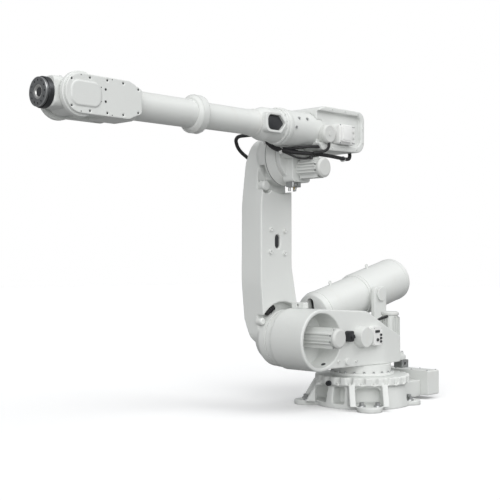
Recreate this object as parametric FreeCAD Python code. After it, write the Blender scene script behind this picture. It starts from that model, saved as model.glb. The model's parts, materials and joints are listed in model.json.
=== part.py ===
import FreeCAD, Part
import math
import os

# Six-axis industrial robot arm with a low base and a balancing cylinder.
# Millimetres. +X points forward along the arm, +Y to the robot's left, +Z up.
# The origin lies on axis 1, on the floor under the base.

# ---------------------------------------------------------------- reach
AXIS_2_X = 590.0            # axis 2 ahead of axis 1
AXIS_2_Z = 500.0            # axis 2 above the floor
LOWER_ARM_LENGTH = 1280.0   # axis 2 to axis 3
TUBE_RISE = 168.0           # tube axis above axis 3
FLANGE_REACH = 2225.0       # axis 3 to the tool flange face
WRIST_LENGTH = 200.0        # axis 5 to the tool flange face
SEAM_Y = -250.0             # turning face of axes 2 and 3
TURN_GAP = 0.4              # half the running gap at a turning face
PIN_GAP = 0.3               # radial gap round a pin

AXIS_3_Z = AXIS_2_Z + LOWER_ARM_LENGTH
TUBE_Z = AXIS_3_Z + TUBE_RISE
FLANGE_X = AXIS_2_X + FLANGE_REACH
AXIS_5_X = FLANGE_X - WRIST_LENGTH

# ---------------------------------------------------------------- base
BASE_HALF = 300.0           # half width of the base plate
PLATE_THICK = 30.0
FOOT_THICK = 36.0
FRONT_FOOT = (290.0, 290.0, 88.0)    # centre x, y and radius
REAR_FOOT = (-215.0, 270.0, 80.0)
FOOT_BOLT = 26.0            # anchor bolt hole
FOOT_BOLT_SPREAD = 55.0     # half the distance between a foot's two bolts
DRUM_RADIUS = 318.0
DRUM_FLARE = 26.0           # how far the drum widens towards the floor
DRUM_TOP = 165.0
RING_RADIUS = 345.0
RING_TOP = 222.0
RING_POCKETS = 24
RING_POCKET_RADIUS = 25.0
NICHE_WIDTH = 190.0
NICHE_DEPTH = 95.0
NICHE_TOP = 150.0
NICHE_ARCH = 40.0           # radius of the niche's upper corners
FRONT_POCKET_WIDTH = 95.0
FRONT_POCKET_ANGLE = 7.0
GUSSET_THICK = 44.0
GUSSET_REACH = 425.0
BOX_FRONT_X = -505.0        # connection box behind the base
BOX_DEPTH = 150.0
BOX_HALF_WIDTH = 235.0
BOX_BOTTOM = 32.0
BOX_TOP = 216.0

# ---------------------------------------------------------------- frame
TURNTABLE_RADIUS = 210.0
FLOOR_PLATE_Z = 300.0       # underside of the frame casting
FLOOR_PLATE_THICK = 38.0
BARREL_RADIUS = 215.0
BARREL_MOUTH_Y = 109.0
BARREL_BORE = 187.0
BARREL_BORE_DEPTH = 165.0
GEAR_RADIUS = 203.0
GEAR_THICK = 70.0
WALL_THICK = 50.0
WALL_BULGE_X = -50.0        # where the left wall stands out furthest
WALL_BULGE_Y = 170.0
FRAME_REAR_X = -280.0
FRAME_REAR_Y = 150.0
FRAME_RIGHT_Y = SEAM_Y + 15.0
MOTOR_SIDE = 138.0          # width over a servo motor's ribs
MOTOR_BODY = 118.0          # round body between the ribs
RIB_PLACES = (-30.8, -10.5, 10.5, 30.8)   # across each face of a motor
RIB_WIDTH = 7.7
RIB_INSET = 16.0
AXIS_2_MOTOR_LIFT = 22.0
AXIS_2_MOTOR_END_Y = 245.0
MOTOR_CAP_THICK = 18.0
AXIS_1_MOTOR_X = -345.0
AXIS_1_MOTOR_TOP = 666.0
SIDE_BOSS_X = 205.0         # round boss on the left wall
SIDE_BOSS_Z = 508.0
SIDE_BOSS_RADIUS = 78.0
SIDE_BOSS_END_Y = 205.0
PANEL_X = 82.0              # brake release box behind the boss
PANEL_HALF = (62.0, 66.0)   # half its length and half its height

# ---------------------------------------------------------------- balancing
CYLINDER_Y = -480.0
CYLINDER_TILT = 13.9        # degrees, rising to the rear
TRUNNION_X = -582.0
ROD_PIN_RADIUS = 140.0      # rod pin from axis 2
CYLINDER_RADIUS = 175.0
CYLINDER_NOSE_RADIUS = 160.0
CYLINDER_STEP = 45.0        # nose section starts this far ahead of the trunnion
CYLINDER_AHEAD = 609.0
CYLINDER_BEHIND = 500.0
CYLINDER_WALL = 18.0
ROD_SLOT_HALF = (31.0, 122.0)   # half the width and height of the slot the rod runs in
DOME = ((38.0, 12.0), (16.0, 40.0), (6.0, 90.0))   # length and fall in radius of each nose step
TRUNNION_PIN = 35.0
EAR_THICK = 36.0
EAR_GAP = 7.0
EAR_RADIUS = 78.0
CRADLE_TOP = 535.0
ROD_RADIUS = 22.0
ROD_LENGTH = 830.0
EYE_RADIUS = 48.0
EYE_THICK = 46.0
ROD_PIN = 25.0
ROD_PIN_LIFT = -6.0         # rod pin above the line through axis 2 along the cylinder

# ---------------------------------------------------------------- lower arm
ARM_OUTER_Y = -445.0
ARM_HUB_RADIUS = 200.0
HUB_POCKET_RADIUS = 258.0
HUB_POCKET_DEPTH = 62.0
ARM_FRONT = 815.0
ARM_REAR = 494.0
PORT_WIDTH = 55.0
PORT_HEIGHT = 98.0
PORT_X = 643.0
PORT_Z = 1185.0
PORT_DEPTH = 70.0
GLAND_RADIUS = 30.0         # hose gland on axis 3
GLAND_LENGTH = 24.0

# ---------------------------------------------------------------- upper arm
HOUSE_RADIUS = 118.0
HOUSE_FRONT_X = 925.0
REAR_HOUSE = (AXIS_2_X - 450.0, AXIS_2_X + 50.0, AXIS_3_Z + 25.0, AXIS_3_Z + 328.0)   # x, x, z, z
REAR_HOUSE_Y = (-165.0, 130.0)
AXIS_3_MOTOR_DROP = 92.0
AXIS_3_MOTOR_END_Y = 112.0
JUNCTION_RADIUS = 34.0
NECK_RADIUS = 110.0
NECK_END_X = 1125.0
WINDOW_WIDTH = 166.0
WINDOW_HEIGHT = 98.0
WINDOW_FLOOR_Y = 66.0       # floor of the window's recess
REAR_TUBE_RADIUS = 82.0
FRONT_TUBE_RADIUS = 87.0
COLLAR_X = 1676.0
COLLAR_RADIUS = 118.0
COLLAR_LENGTH = 92.0

# ---------------------------------------------------------------- wrist
WRIST_REAR_X = 2190.0
WRIST_HALF_WIDTH = 118.0
WRIST_HALF_HEIGHT = 108.0
CHEEK_RADIUS = 124.0
FORK_HALF_GAP = 86.0
FORK_DEPTH = 192.0          # fork root behind axis 5
COVER_THICK = 15.0
TILT_RADIUS = 104.0
FLANGE_RADIUS = 80.0
FLANGE_THICK = 18.0
FLANGE_PITCH_RADIUS = 62.5
FLANGE_HOLES = 12
FLANGE_HOLE = 10.5
FLANGE_BORE_RADIUS = 40.0
FLANGE_BORE_DEPTH = 10.0

# ---------------------------------------------------------------- hoses
HOSE_RADIUS = 13.0
CLAMP_WALL = 10.0
CLAMP_LENGTH = 22.0
CLAMPED_RUNS = (4, 5)       # straight runs of the hose that a clamp holds

V = FreeCAD.Vector
X_AXIS = V(1, 0, 0)
Y_AXIS = V(0, 1, 0)
Z_AXIS = V(0, 0, 1)


# ================================================================ helpers
def block(x0, x1, y0, y1, z0, z1):
    return Part.makeBox(x1 - x0, y1 - y0, z1 - z0, V(x0, y0, z0))


def rod(start, end, radius):
    """A round bar between two points."""
    start, end = V(*start), V(*end)
    return Part.makeCylinder(radius, (end - start).Length, start, end - start)


def cone(start, end, radius_1, radius_2):
    start, end = V(*start), V(*end)
    return Part.makeCone(radius_1, radius_2, (end - start).Length, start, end - start)


def place(plane, a, b, level):
    """A point of a flat outline, placed in one of the three main planes."""
    if plane == "XY":
        return V(a, b, level)
    if plane == "XZ":
        return V(a, level, b)
    return V(level, a, b)


def outline(plane, points, level):
    """A closed face. Each point is (a, b, corner radius)."""
    corners = [V(p[0], p[1], 0) for p in points]
    count = len(corners)
    starts, arcs, ends = [], [], []
    for i, corner in enumerate(corners):
        radius = points[i][2]
        to_last = (corners[i - 1] - corner).normalize()
        to_next = (corners[(i + 1) % count] - corner).normalize()
        half = math.acos(max(-1.0, min(1.0, to_last.dot(to_next)))) / 2
        back = radius / math.tan(half)
        first, last = corner + to_last * back, corner + to_next * back
        middle = (to_last + to_next).normalize() if radius else V(0, 0, 0)
        centre = corner + middle * (radius / math.sin(half))
        starts.append(first)
        ends.append(last)
        arcs.append(centre - middle * radius if radius else None)
    edges = []
    for i in range(count):
        first, last = (place(plane, p.x, p.y, level) for p in (starts[i], ends[i]))
        if arcs[i] is not None:
            middle = place(plane, arcs[i].x, arcs[i].y, level)
            edges.append(Part.Arc(first, middle, last).toShape())
        after = starts[(i + 1) % count]
        after = place(plane, after.x, after.y, level)
        if (after - last).Length > 0.001:
            edges.append(Part.makeLine(last, after))
    return Part.Face(Part.Wire(edges))


def slab(plane, points, low, high):
    """An outline given thickness from low to high."""
    face = outline(plane, points, low)
    direction = place(plane, 0, 0, high - low)
    return face.extrude(direction)


def rounded_box(plane, a0, a1, b0, b1, radius, low, high):
    points = [(a0, b0, radius), (a1, b0, radius), (a1, b1, radius), (a0, b1, radius)]
    return slab(plane, points, low, high)


def fuse(shapes):
    return shapes[0].multiFuse(shapes[1:]).removeSplitter()


def around(shape, angle, centre=(0, 0, 0), axis=Z_AXIS):
    turned = shape.copy()
    turned.rotate(V(*centre), axis, angle)
    return turned


def bend_radius(before, corner, after):
    """The largest corner radius that leaves a tenth of the shorter run straight."""
    run = min((before - corner).Length, (after - corner).Length)
    half_turn = (corner - before).getAngle(after - corner) / 2
    return 0.45 * run / math.tan(half_turn)


def hose(points, radius=HOSE_RADIUS):
    """A round hose along straight runs joined by tangent arcs."""
    stops = [V(*p) for p in points]
    edges = []
    at = stops[0]
    for i in range(1, len(stops) - 1):
        before, corner, after = stops[i - 1], stops[i], stops[i + 1]
        back = (before - corner).normalize()
        ahead = (after - corner).normalize()
        half_turn = (corner - before).getAngle(after - corner) / 2
        bend = bend_radius(before, corner, after)
        cut = bend * math.tan(half_turn)
        first, last = corner + back * cut, corner + ahead * cut
        inward = (back + ahead).normalize()
        middle = corner + inward * (bend / math.cos(half_turn) - bend)
        edges.append(Part.makeLine(at, first))
        edges.append(Part.Arc(first, middle, last).toShape())
        at = last
    edges.append(Part.makeLine(at, stops[-1]))
    path = Part.Wire(edges)
    section = Part.Wire([Part.makeCircle(radius, stops[0], stops[1] - stops[0])])
    return path.makePipeShell([section], True, True)


def ribbed_motor(start, end, rib_axis):
    """A servo motor: square ribbed body with rounded corners between two points."""
    start, end = V(*start), V(*end)
    length = (end - start).Length
    half = MOTOR_SIDE / 2
    body = Part.makeCylinder(MOTOR_BODY / 2, length, start, end - start)
    shapes = [body]
    along = (end - start).normalize()
    side = along.cross(rib_axis)
    for direction, other in ((rib_axis, side), (side, rib_axis)):
        for offset in RIB_PLACES:
            corner = start + along * RIB_INSET + other * (offset - RIB_WIDTH / 2) - direction * half
            wide, tall, deep = other * RIB_WIDTH, direction * MOTOR_SIDE, along * (length - 2 * RIB_INSET)
            frame = FreeCAD.Matrix(wide.x, tall.x, deep.x, corner.x,
                                   wide.y, tall.y, deep.y, corner.y,
                                   wide.z, tall.z, deep.z, corner.z, 0, 0, 0, 1)
            shapes.append(Part.makeBox(1, 1, 1).transformGeometry(frame))
    return fuse(shapes)


# ================================================================ base
def make_base_casting():
    plate = rounded_box("XY", -BASE_HALF, BASE_HALF, -BASE_HALF, BASE_HALF, 60, 0, PLATE_THICK)
    drum = cone((0, 0, 0), (0, 0, DRUM_TOP), DRUM_RADIUS + DRUM_FLARE, DRUM_RADIUS)
    ring = rod((0, 0, DRUM_TOP), (0, 0, RING_TOP), RING_RADIUS)
    shapes = [plate, drum, ring]
    feet = []
    for x, y, radius in (FRONT_FOOT, REAR_FOOT):
        for side in (1, -1):
            feet.append((x, side * y))
            shapes.append(rod((x, side * y, 0), (x, side * y, FOOT_THICK), radius))
    gusset_points = [(DRUM_RADIUS - 60, FOOT_THICK - 4, 0), (GUSSET_REACH, FOOT_THICK - 4, 0),
                     (GUSSET_REACH - 12, FOOT_THICK + 18, 0), (RING_RADIUS - 8, RING_TOP - 40, 0),
                     (DRUM_RADIUS - 60, RING_TOP - 40, 0)]
    for x, y in feet:
        if x < 0:
            continue
        angle = math.degrees(math.atan2(y, x))
        for side in (1, -1):
            middle = side * (NICHE_WIDTH / 2 + GUSSET_THICK / 2)
            gusset = slab("XZ", gusset_points, middle - GUSSET_THICK / 2, middle + GUSSET_THICK / 2)
            shapes.append(around(gusset, angle))
    tongue = block(BOX_FRONT_X, -BASE_HALF + 20, -170, 170, BOX_BOTTOM - 12, BOX_TOP - 70)
    shapes.append(tongue)
    casting = fuse(shapes)

    cuts = []
    for x, y in feet:
        angle = math.degrees(math.atan2(y, x))
        half = NICHE_WIDTH / 2
        niche_points = [(-half, FOOT_THICK, 8), (half, FOOT_THICK, 8),
                        (half, NICHE_TOP, NICHE_ARCH), (-half, NICHE_TOP, NICHE_ARCH)]
        niche = slab("YZ", niche_points, DRUM_RADIUS - NICHE_DEPTH, DRUM_RADIUS + 60)
        cuts.append(around(niche, angle))
        across = V(-y, x, 0).normalize() * FOOT_BOLT_SPREAD
        for side in (1, -1):
            centre = V(x, y, -1) + across * side
            cuts.append(Part.makeCylinder(FOOT_BOLT / 2, FOOT_THICK + 2, centre))
    pocket = rounded_box("YZ", -FRONT_POCKET_WIDTH / 2, FRONT_POCKET_WIDTH / 2, PLATE_THICK + 4,
                         DRUM_TOP - 14, 12, DRUM_RADIUS - NICHE_DEPTH, DRUM_RADIUS + 60)
    cuts.append(around(pocket, FRONT_POCKET_ANGLE))
    cuts.append(around(pocket, -FRONT_POCKET_ANGLE * 3))
    for i in range(RING_POCKETS):
        scallop = rod((RING_RADIUS, 0, DRUM_TOP + 12), (RING_RADIUS, 0, RING_TOP + 1), RING_POCKET_RADIUS)
        cuts.append(around(scallop, 360.0 / RING_POCKETS * (i + 0.5)))
    return casting.cut(cuts).removeSplitter()


def make_connection_box():
    shell = rounded_box("YZ", -BOX_HALF_WIDTH, BOX_HALF_WIDTH, BOX_BOTTOM, BOX_TOP, 10,
                        BOX_FRONT_X - BOX_DEPTH, BOX_FRONT_X)
    recess = rounded_box("YZ", -BOX_HALF_WIDTH + 40, BOX_HALF_WIDTH - 40, BOX_BOTTOM + 25, BOX_TOP - 25, 10,
                         BOX_FRONT_X - BOX_DEPTH - 1, BOX_FRONT_X - BOX_DEPTH + 12)
    return shell.cut(recess)


def make_connection_sockets():
    face = BOX_FRONT_X - BOX_DEPTH + 12
    middle = (BOX_BOTTOM + BOX_TOP) / 2
    sockets = []
    for y, radius in ((-120, 34), (-30, 34), (60, 24), (130, 24)):
        body = rod((face, y, middle), (face - 26, y, middle), radius)
        hole = rod((face - 27, y, middle), (face - 12, y, middle), radius - 8)
        sockets.append(body.cut(hole))
    return Part.makeCompound(sockets)


def make_base_plug():
    angle = math.radians(-4)
    direction = V(math.cos(angle), math.sin(angle), 0)
    at = direction * (RING_RADIUS + 0.2) + V(0, 0, (DRUM_TOP + RING_TOP) / 2 - 16)
    plug = Part.makeCylinder(19, 20, at, direction)
    stub = Part.makeCylinder(13, 10, at + direction * 20, direction)
    return plug.fuse(stub).removeSplitter()


# ================================================================ frame
def make_turntable():
    disc = rod((0, 0, RING_TOP + TURN_GAP), (0, 0, FLOOR_PLATE_Z), TURNTABLE_RADIUS)
    lip = rod((0, 0, RING_TOP + TURN_GAP), (0, 0, RING_TOP + 22), TURNTABLE_RADIUS + 24)
    return disc.fuse(lip).removeSplitter()


def frame_profile(low, high):
    """The frame casting's side outline, extruded across the robot."""
    top = AXIS_2_Z + BARREL_RADIUS
    points = [(AXIS_2_X, top, 0), (140, top - 25, 90), (-80, top - 145, 60), (FRAME_REAR_X, top - 225, 40),
              (FRAME_REAR_X, FLOOR_PLATE_Z, 12), (AXIS_2_X, FLOOR_PLATE_Z, 0)]
    return slab("XZ", points, low, high)


def make_frame_casting():
    wide = frame_profile(FRAME_RIGHT_Y - 5, WALL_BULGE_Y + 5)
    plan = [(AXIS_2_X, FRAME_RIGHT_Y, 0), (AXIS_2_X, BARREL_MOUTH_Y, 0), (WALL_BULGE_X, WALL_BULGE_Y, 200),
            (FRAME_REAR_X, FRAME_REAR_Y, 20), (FRAME_REAR_X, FRAME_RIGHT_Y, 20)]
    body = wide.common(slab("XY", plan, FLOOR_PLATE_Z - 1, AXIS_2_Z + BARREL_RADIUS + 1))
    well = [(70, FRAME_RIGHT_Y + WALL_THICK, 40), (70, BARREL_MOUTH_Y + 5, 40),
            (WALL_BULGE_X, WALL_BULGE_Y - WALL_THICK, 60), (FRAME_REAR_X - 5, FRAME_REAR_Y - WALL_THICK, 0),
            (FRAME_REAR_X - 5, FRAME_RIGHT_Y + WALL_THICK, 0)]
    body = body.cut(slab("XY", well, FLOOR_PLATE_Z + FLOOR_PLATE_THICK, AXIS_2_Z + BARREL_RADIUS + 5))
    shelf_points = [(FRAME_REAR_X + 30, -120, 0), (FRAME_REAR_X + 30, 110, 0),
                    (AXIS_1_MOTOR_X - 95, 95, 40), (AXIS_1_MOTOR_X - 95, -105, 40)]
    shelf = slab("XY", shelf_points, FLOOR_PLATE_Z, FLOOR_PLATE_Z + FLOOR_PLATE_THICK)
    barrel = rod((AXIS_2_X, SEAM_Y + GEAR_THICK, AXIS_2_Z), (AXIS_2_X, BARREL_MOUTH_Y, AXIS_2_Z),
                 BARREL_RADIUS)
    casting = fuse([body, barrel, shelf])
    bore = rod((AXIS_2_X, BARREL_MOUTH_Y - BARREL_BORE_DEPTH, AXIS_2_Z),
               (AXIS_2_X, BARREL_MOUTH_Y + 20, AXIS_2_Z), BARREL_BORE)
    gear_seat = rod((AXIS_2_X, SEAM_Y - 5, AXIS_2_Z), (AXIS_2_X, SEAM_Y + GEAR_THICK, AXIS_2_Z),
                    BARREL_RADIUS + 20)
    return casting.cut([bore, gear_seat]).removeSplitter()


def make_axis_2_gear():
    ring = rod((AXIS_2_X, SEAM_Y + TURN_GAP, AXIS_2_Z), (AXIS_2_X, SEAM_Y + GEAR_THICK, AXIS_2_Z),
               GEAR_RADIUS)
    groove = rod((AXIS_2_X, SEAM_Y + 12, AXIS_2_Z), (AXIS_2_X, SEAM_Y + 20, AXIS_2_Z), GEAR_RADIUS + 5)
    core = rod((AXIS_2_X, SEAM_Y + 11, AXIS_2_Z), (AXIS_2_X, SEAM_Y + 21, AXIS_2_Z), GEAR_RADIUS - 7)
    return ring.cut(groove.cut(core))


def make_axis_2_motor():
    z = AXIS_2_Z + AXIS_2_MOTOR_LIFT
    back = BARREL_MOUTH_Y - BARREL_BORE_DEPTH
    flange = rounded_box("XZ", AXIS_2_X - 85, AXIS_2_X + 85, z - 85, z + 85, 24, back, back + 20)
    motor = ribbed_motor((AXIS_2_X, back + 20, z), (AXIS_2_X, AXIS_2_MOTOR_END_Y, z), Z_AXIS)
    return flange.fuse(motor).removeSplitter()


def motor_cap(start, end):
    start, end = V(*start), V(*end)
    along = (end - start).normalize()
    cap = Part.makeCylinder(MOTOR_SIDE / 2, MOTOR_CAP_THICK, start, along)
    dome = Part.makeCone(MOTOR_SIDE / 2, MOTOR_SIDE / 2 - 14, 10, start + along * MOTOR_CAP_THICK, along)
    return cap.fuse(dome).removeSplitter()


def make_axis_1_motor():
    foot = FLOOR_PLATE_Z + FLOOR_PLATE_THICK
    x = AXIS_1_MOTOR_X
    flange = rounded_box("XY", x - 80, x + 80, -80, 80, 22, foot, foot + 20)
    motor = ribbed_motor((x, 0, foot + 20), (x, 0, AXIS_1_MOTOR_TOP - MOTOR_CAP_THICK - 10), X_AXIS)
    return flange.fuse(motor).removeSplitter()


def make_frame_motor_caps():
    z_1 = AXIS_1_MOTOR_TOP - MOTOR_CAP_THICK - 10
    z_2 = AXIS_2_Z + AXIS_2_MOTOR_LIFT
    end = AXIS_2_MOTOR_END_Y
    return Part.makeCompound([motor_cap((AXIS_1_MOTOR_X, 0, z_1), (AXIS_1_MOTOR_X, 0, z_1 + 50)),
                              motor_cap((AXIS_2_X, end, z_2), (AXIS_2_X, end + 50, z_2))])


def wall_y(x):
    """The left wall's outer face at x, ahead of its bulge."""
    return WALL_BULGE_Y + (BARREL_MOUTH_Y - WALL_BULGE_Y) * (x - WALL_BULGE_X) / (AXIS_2_X - WALL_BULGE_X)


def make_side_boss():
    wall = wall_y(SIDE_BOSS_X + SIDE_BOSS_RADIUS) - 2
    boss = cone((SIDE_BOSS_X, wall, SIDE_BOSS_Z), (SIDE_BOSS_X, SIDE_BOSS_END_Y, SIDE_BOSS_Z),
                SIDE_BOSS_RADIUS, SIDE_BOSS_RADIUS - 8)
    return boss.cut(wall_block())


def wall_block():
    """The room behind the left wall's outer face, for trimming what sits on it."""
    plan = [(AXIS_2_X, -100, 0), (AXIS_2_X, BARREL_MOUTH_Y, 0), (WALL_BULGE_X, WALL_BULGE_Y, 200),
            (FRAME_REAR_X, FRAME_REAR_Y, 20), (FRAME_REAR_X, -100, 0)]
    return slab("XY", plan, FLOOR_PLATE_Z - 50, AXIS_2_Z + BARREL_RADIUS + 50)


def make_brake_release_box():
    """Box with five push buttons that free the brakes by hand."""
    half_x, half_z = PANEL_HALF
    z = SIDE_BOSS_Z + 2
    body = rounded_box("XZ", PANEL_X - half_x, PANEL_X + half_x - 20, z - half_z, z + half_z, 10,
                       WALL_BULGE_Y - 40, SIDE_BOSS_END_Y - 6)
    face = SIDE_BOSS_END_Y - 6
    buttons = [rounded_box("XZ", PANEL_X - 24, PANEL_X + 22, z + 26, z + 42, 5, face, face + 5)]
    for row in (-40, -16, 8):
        buttons.append(rod((PANEL_X - 42, face, z + row), (PANEL_X - 42, face + 8, z + row), 8))
    buttons.append(rod((PANEL_X - 4, face, z - 26), (PANEL_X - 4, face + 8, z - 26), 10))
    return Part.makeCompound([body.cut(wall_block())] + buttons)


def make_side_connector():
    x, z = 340.0, SIDE_BOSS_Z + 12
    wall = wall_y(x) - 4
    body = rounded_box("XZ", x - 26, x + 26, z - 38, z + 38, 14, wall, wall + 46)
    stub = rod((x, wall + 46, z), (x, wall + 62, z), 17)
    lead = rod((x - 26, wall + 24, z - 8), (SIDE_BOSS_X + SIDE_BOSS_RADIUS - 6, wall + 24, z - 10), 8)
    return fuse([body, stub, lead]).cut(fuse([wall_block(), make_side_boss()]))


def make_stop_block():
    x = AXIS_1_MOTOR_X - 60
    block_shape = rounded_box("XZ", x - 52, x + 30, FLOOR_PLATE_Z - 62, FLOOR_PLATE_Z, 6, 14, 92)
    hole = rod((x - 10, 10, FLOOR_PLATE_Z - 30), (x - 10, 100, FLOOR_PLATE_Z - 30), 12)
    return block_shape.cut(hole)


def make_top_stop():
    """A small bolted stop on top of the barrel, beside the lower arm."""
    low = AXIS_2_Z + math.sqrt(BARREL_RADIUS ** 2 - 60.0 ** 2)
    plate = rounded_box("YZ", SEAM_Y + 75, SEAM_Y + 190, low, low + 50, 10, AXIS_2_X - 55, AXIS_2_X - 5)
    hole = rod((AXIS_2_X - 60, SEAM_Y + 132, low + 30), (AXIS_2_X, SEAM_Y + 132, low + 30), 9)
    return plate.cut(hole).cut(make_frame_casting())


# ================================================================ balancing cylinder
TILT = math.radians(CYLINDER_TILT)
AHEAD = V(math.cos(TILT), 0, -math.sin(TILT))


def trunnion_z():
    """The trunnion height that puts the cylinder's axis through the rod pin."""
    return rod_pin_point().z + (rod_pin_point().x - TRUNNION_X) * math.tan(TILT)


def rod_pin_point():
    """The rod pin lies behind axis 2, on a line parallel to the cylinder's axis."""
    return V(AXIS_2_X, CYLINDER_Y, AXIS_2_Z) - AHEAD * ROD_PIN_RADIUS + V(0, 0, ROD_PIN_LIFT)


TRUNNION = V(TRUNNION_X, CYLINDER_Y, trunnion_z())


def along_cylinder(distance):
    return TRUNNION + AHEAD * distance


def cylinder_piece(start, end, radius_1, radius_2):
    first, last = along_cylinder(start), along_cylinder(end)
    if radius_1 == radius_2:
        return Part.makeCylinder(radius_1, (last - first).Length, first, last - first)
    return Part.makeCone(radius_1, radius_2, (last - first).Length, first, last - first)


def rod_slot():
    """Upright slot through the cylinder's nose, as wide as the rod needs and as high as it swings."""
    half_y, half_z = ROD_SLOT_HALF
    slot = rounded_box("YZ", -half_y, half_y, -half_z, half_z, half_y - 1, -120, 60)
    slot.rotate(V(0, 0, 0), Y_AXIS, CYLINDER_TILT)
    slot.translate(along_cylinder(CYLINDER_AHEAD))
    return slot


def make_balance_cylinder():
    nose_start = CYLINDER_AHEAD - sum(length for length, fall in DOME)
    outer = [cylinder_piece(-CYLINDER_BEHIND + 30, CYLINDER_STEP, CYLINDER_RADIUS, CYLINDER_RADIUS),
             cylinder_piece(-CYLINDER_BEHIND, -CYLINDER_BEHIND + 30, CYLINDER_RADIUS - 28, CYLINDER_RADIUS),
             cylinder_piece(CYLINDER_STEP, nose_start, CYLINDER_NOSE_RADIUS, CYLINDER_NOSE_RADIUS)]
    at, radius = nose_start, CYLINDER_NOSE_RADIUS
    for length, fall in DOME:
        outer.append(cylinder_piece(at, at + length, radius, radius - fall))
        at, radius = at + length, radius - fall
    inner = CYLINDER_NOSE_RADIUS - CYLINDER_WALL
    hollow = cylinder_piece(-CYLINDER_BEHIND + 60, nose_start, inner, inner)
    return fuse(outer).cut([hollow, rod_slot()]).removeSplitter()


def make_trunnion_pins():
    pins = []
    for side in (1, -1):
        start = TRUNNION + Y_AXIS * side * (CYLINDER_RADIUS - 1.0)
        pin = Part.makeCylinder(TRUNNION_PIN, EAR_GAP + EAR_THICK + 2.0, start, Y_AXIS * side)
        cap_at = start + Y_AXIS * side * (EAR_GAP + EAR_THICK + 2.0)
        cap = Part.makeCylinder(TRUNNION_PIN + 17, 14, cap_at, Y_AXIS * side)
        pins.append(fuse([pin, cap]).cut(cylinder_piece(-200, 200, CYLINDER_RADIUS, CYLINDER_RADIUS)))
    return Part.makeCompound(pins)


def make_lifting_eyes():
    eyes = []
    up = V(math.sin(TILT), 0, math.cos(TILT))
    for distance, radius in ((60 + CYLINDER_STEP + 230, CYLINDER_NOSE_RADIUS), (-150, CYLINDER_RADIUS)):
        foot = along_cylinder(distance) + up * (radius - 2)
        post = Part.makeCylinder(9, 12, foot, up)
        ring = Part.makeTorus(12, 5, foot + up * 22, Y_AXIS)
        eye = fuse([post, ring]).cut(cylinder_piece(-CYLINDER_BEHIND, CYLINDER_AHEAD - 40, radius, radius))
        eyes.append(eye)
    return Part.makeCompound(eyes)


def make_cylinder_bracket():
    """Fork that carries the trunnion, bolted to the frame's rear right corner."""
    ears = []
    inner_face = CYLINDER_RADIUS + EAR_GAP
    for side in (1, -1):
        near, far = CYLINDER_Y + side * inner_face, CYLINDER_Y + side * (inner_face + EAR_THICK)
        points = [(TRUNNION_X - EAR_RADIUS, CRADLE_TOP - 45, 0), (TRUNNION_X + EAR_RADIUS, CRADLE_TOP - 45, 0),
                  (TRUNNION_X + EAR_RADIUS, TRUNNION.z + 62, 45), (TRUNNION_X - EAR_RADIUS, TRUNNION.z + 62, 45)]
        ear = slab("XZ", points, min(near, far), max(near, far))
        ears.append(ear)
    low_y = CYLINDER_Y - inner_face - EAR_THICK
    high_y = CYLINDER_Y + inner_face + EAR_THICK
    cradle = block(TRUNNION_X - EAR_RADIUS, TRUNNION_X + EAR_RADIUS, low_y, high_y, CRADLE_TOP - 45, CRADLE_TOP)
    arm_points = [(FRAME_REAR_X, FLOOR_PLATE_Z + 30, 0), (FRAME_REAR_X, AXIS_2_Z - 20, 0),
                  (TRUNNION_X + EAR_RADIUS, CRADLE_TOP + 45, 60), (TRUNNION_X - EAR_RADIUS, CRADLE_TOP + 45, 0),
                  (TRUNNION_X - EAR_RADIUS, CRADLE_TOP - 45, 30), (TRUNNION_X + EAR_RADIUS, CRADLE_TOP - 60, 30)]
    arm = slab("XZ", arm_points, CYLINDER_Y + inner_face, FRAME_RIGHT_Y + WALL_THICK)
    pad = block(FRAME_REAR_X, FRAME_REAR_X + 130, CYLINDER_Y + inner_face, FRAME_RIGHT_Y,
                FLOOR_PLATE_Z + 30, AXIS_2_Z - 20)
    bracket = fuse(ears + [cradle, arm, pad])
    bore = Part.makeCylinder(TRUNNION_PIN + PIN_GAP, 900, V(TRUNNION_X, CYLINDER_Y - 450, TRUNNION.z), Y_AXIS)
    return bracket.cut(bore).removeSplitter()


def make_piston_rod():
    pin = rod_pin_point()
    eye = Part.makeCylinder(EYE_RADIUS, EYE_THICK, pin - Y_AXIS * EYE_THICK / 2, Y_AXIS)
    bar = Part.makeCylinder(ROD_RADIUS, ROD_LENGTH, pin - AHEAD * 20, AHEAD * -1)
    piston = Part.makeCylinder(ROD_RADIUS + 4, 30, pin - AHEAD * (ROD_LENGTH + 10), AHEAD * -1)
    bore = Part.makeCylinder(ROD_PIN + PIN_GAP, EYE_THICK + 20, pin - Y_AXIS * (EYE_THICK / 2 + 10), Y_AXIS)
    return fuse([eye, bar, piston]).cut(bore)


def make_rod_pin():
    centre = rod_pin_point()
    start = V(centre.x, ARM_OUTER_Y + 70, centre.z)
    end_y = CYLINDER_Y - EYE_THICK / 2 - 2
    pin = rod((start.x, start.y, start.z), (start.x, end_y, start.z), ROD_PIN)
    shoulder = rod((start.x, start.y, start.z), (start.x, CYLINDER_Y + EYE_THICK / 2 + 2, start.z), ROD_PIN + 14)
    washer = rod((start.x, end_y, start.z), (start.x, end_y - 9, start.z), ROD_PIN + 9)
    return fuse([pin, shoulder, washer]).cut(make_arm_body())


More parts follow.
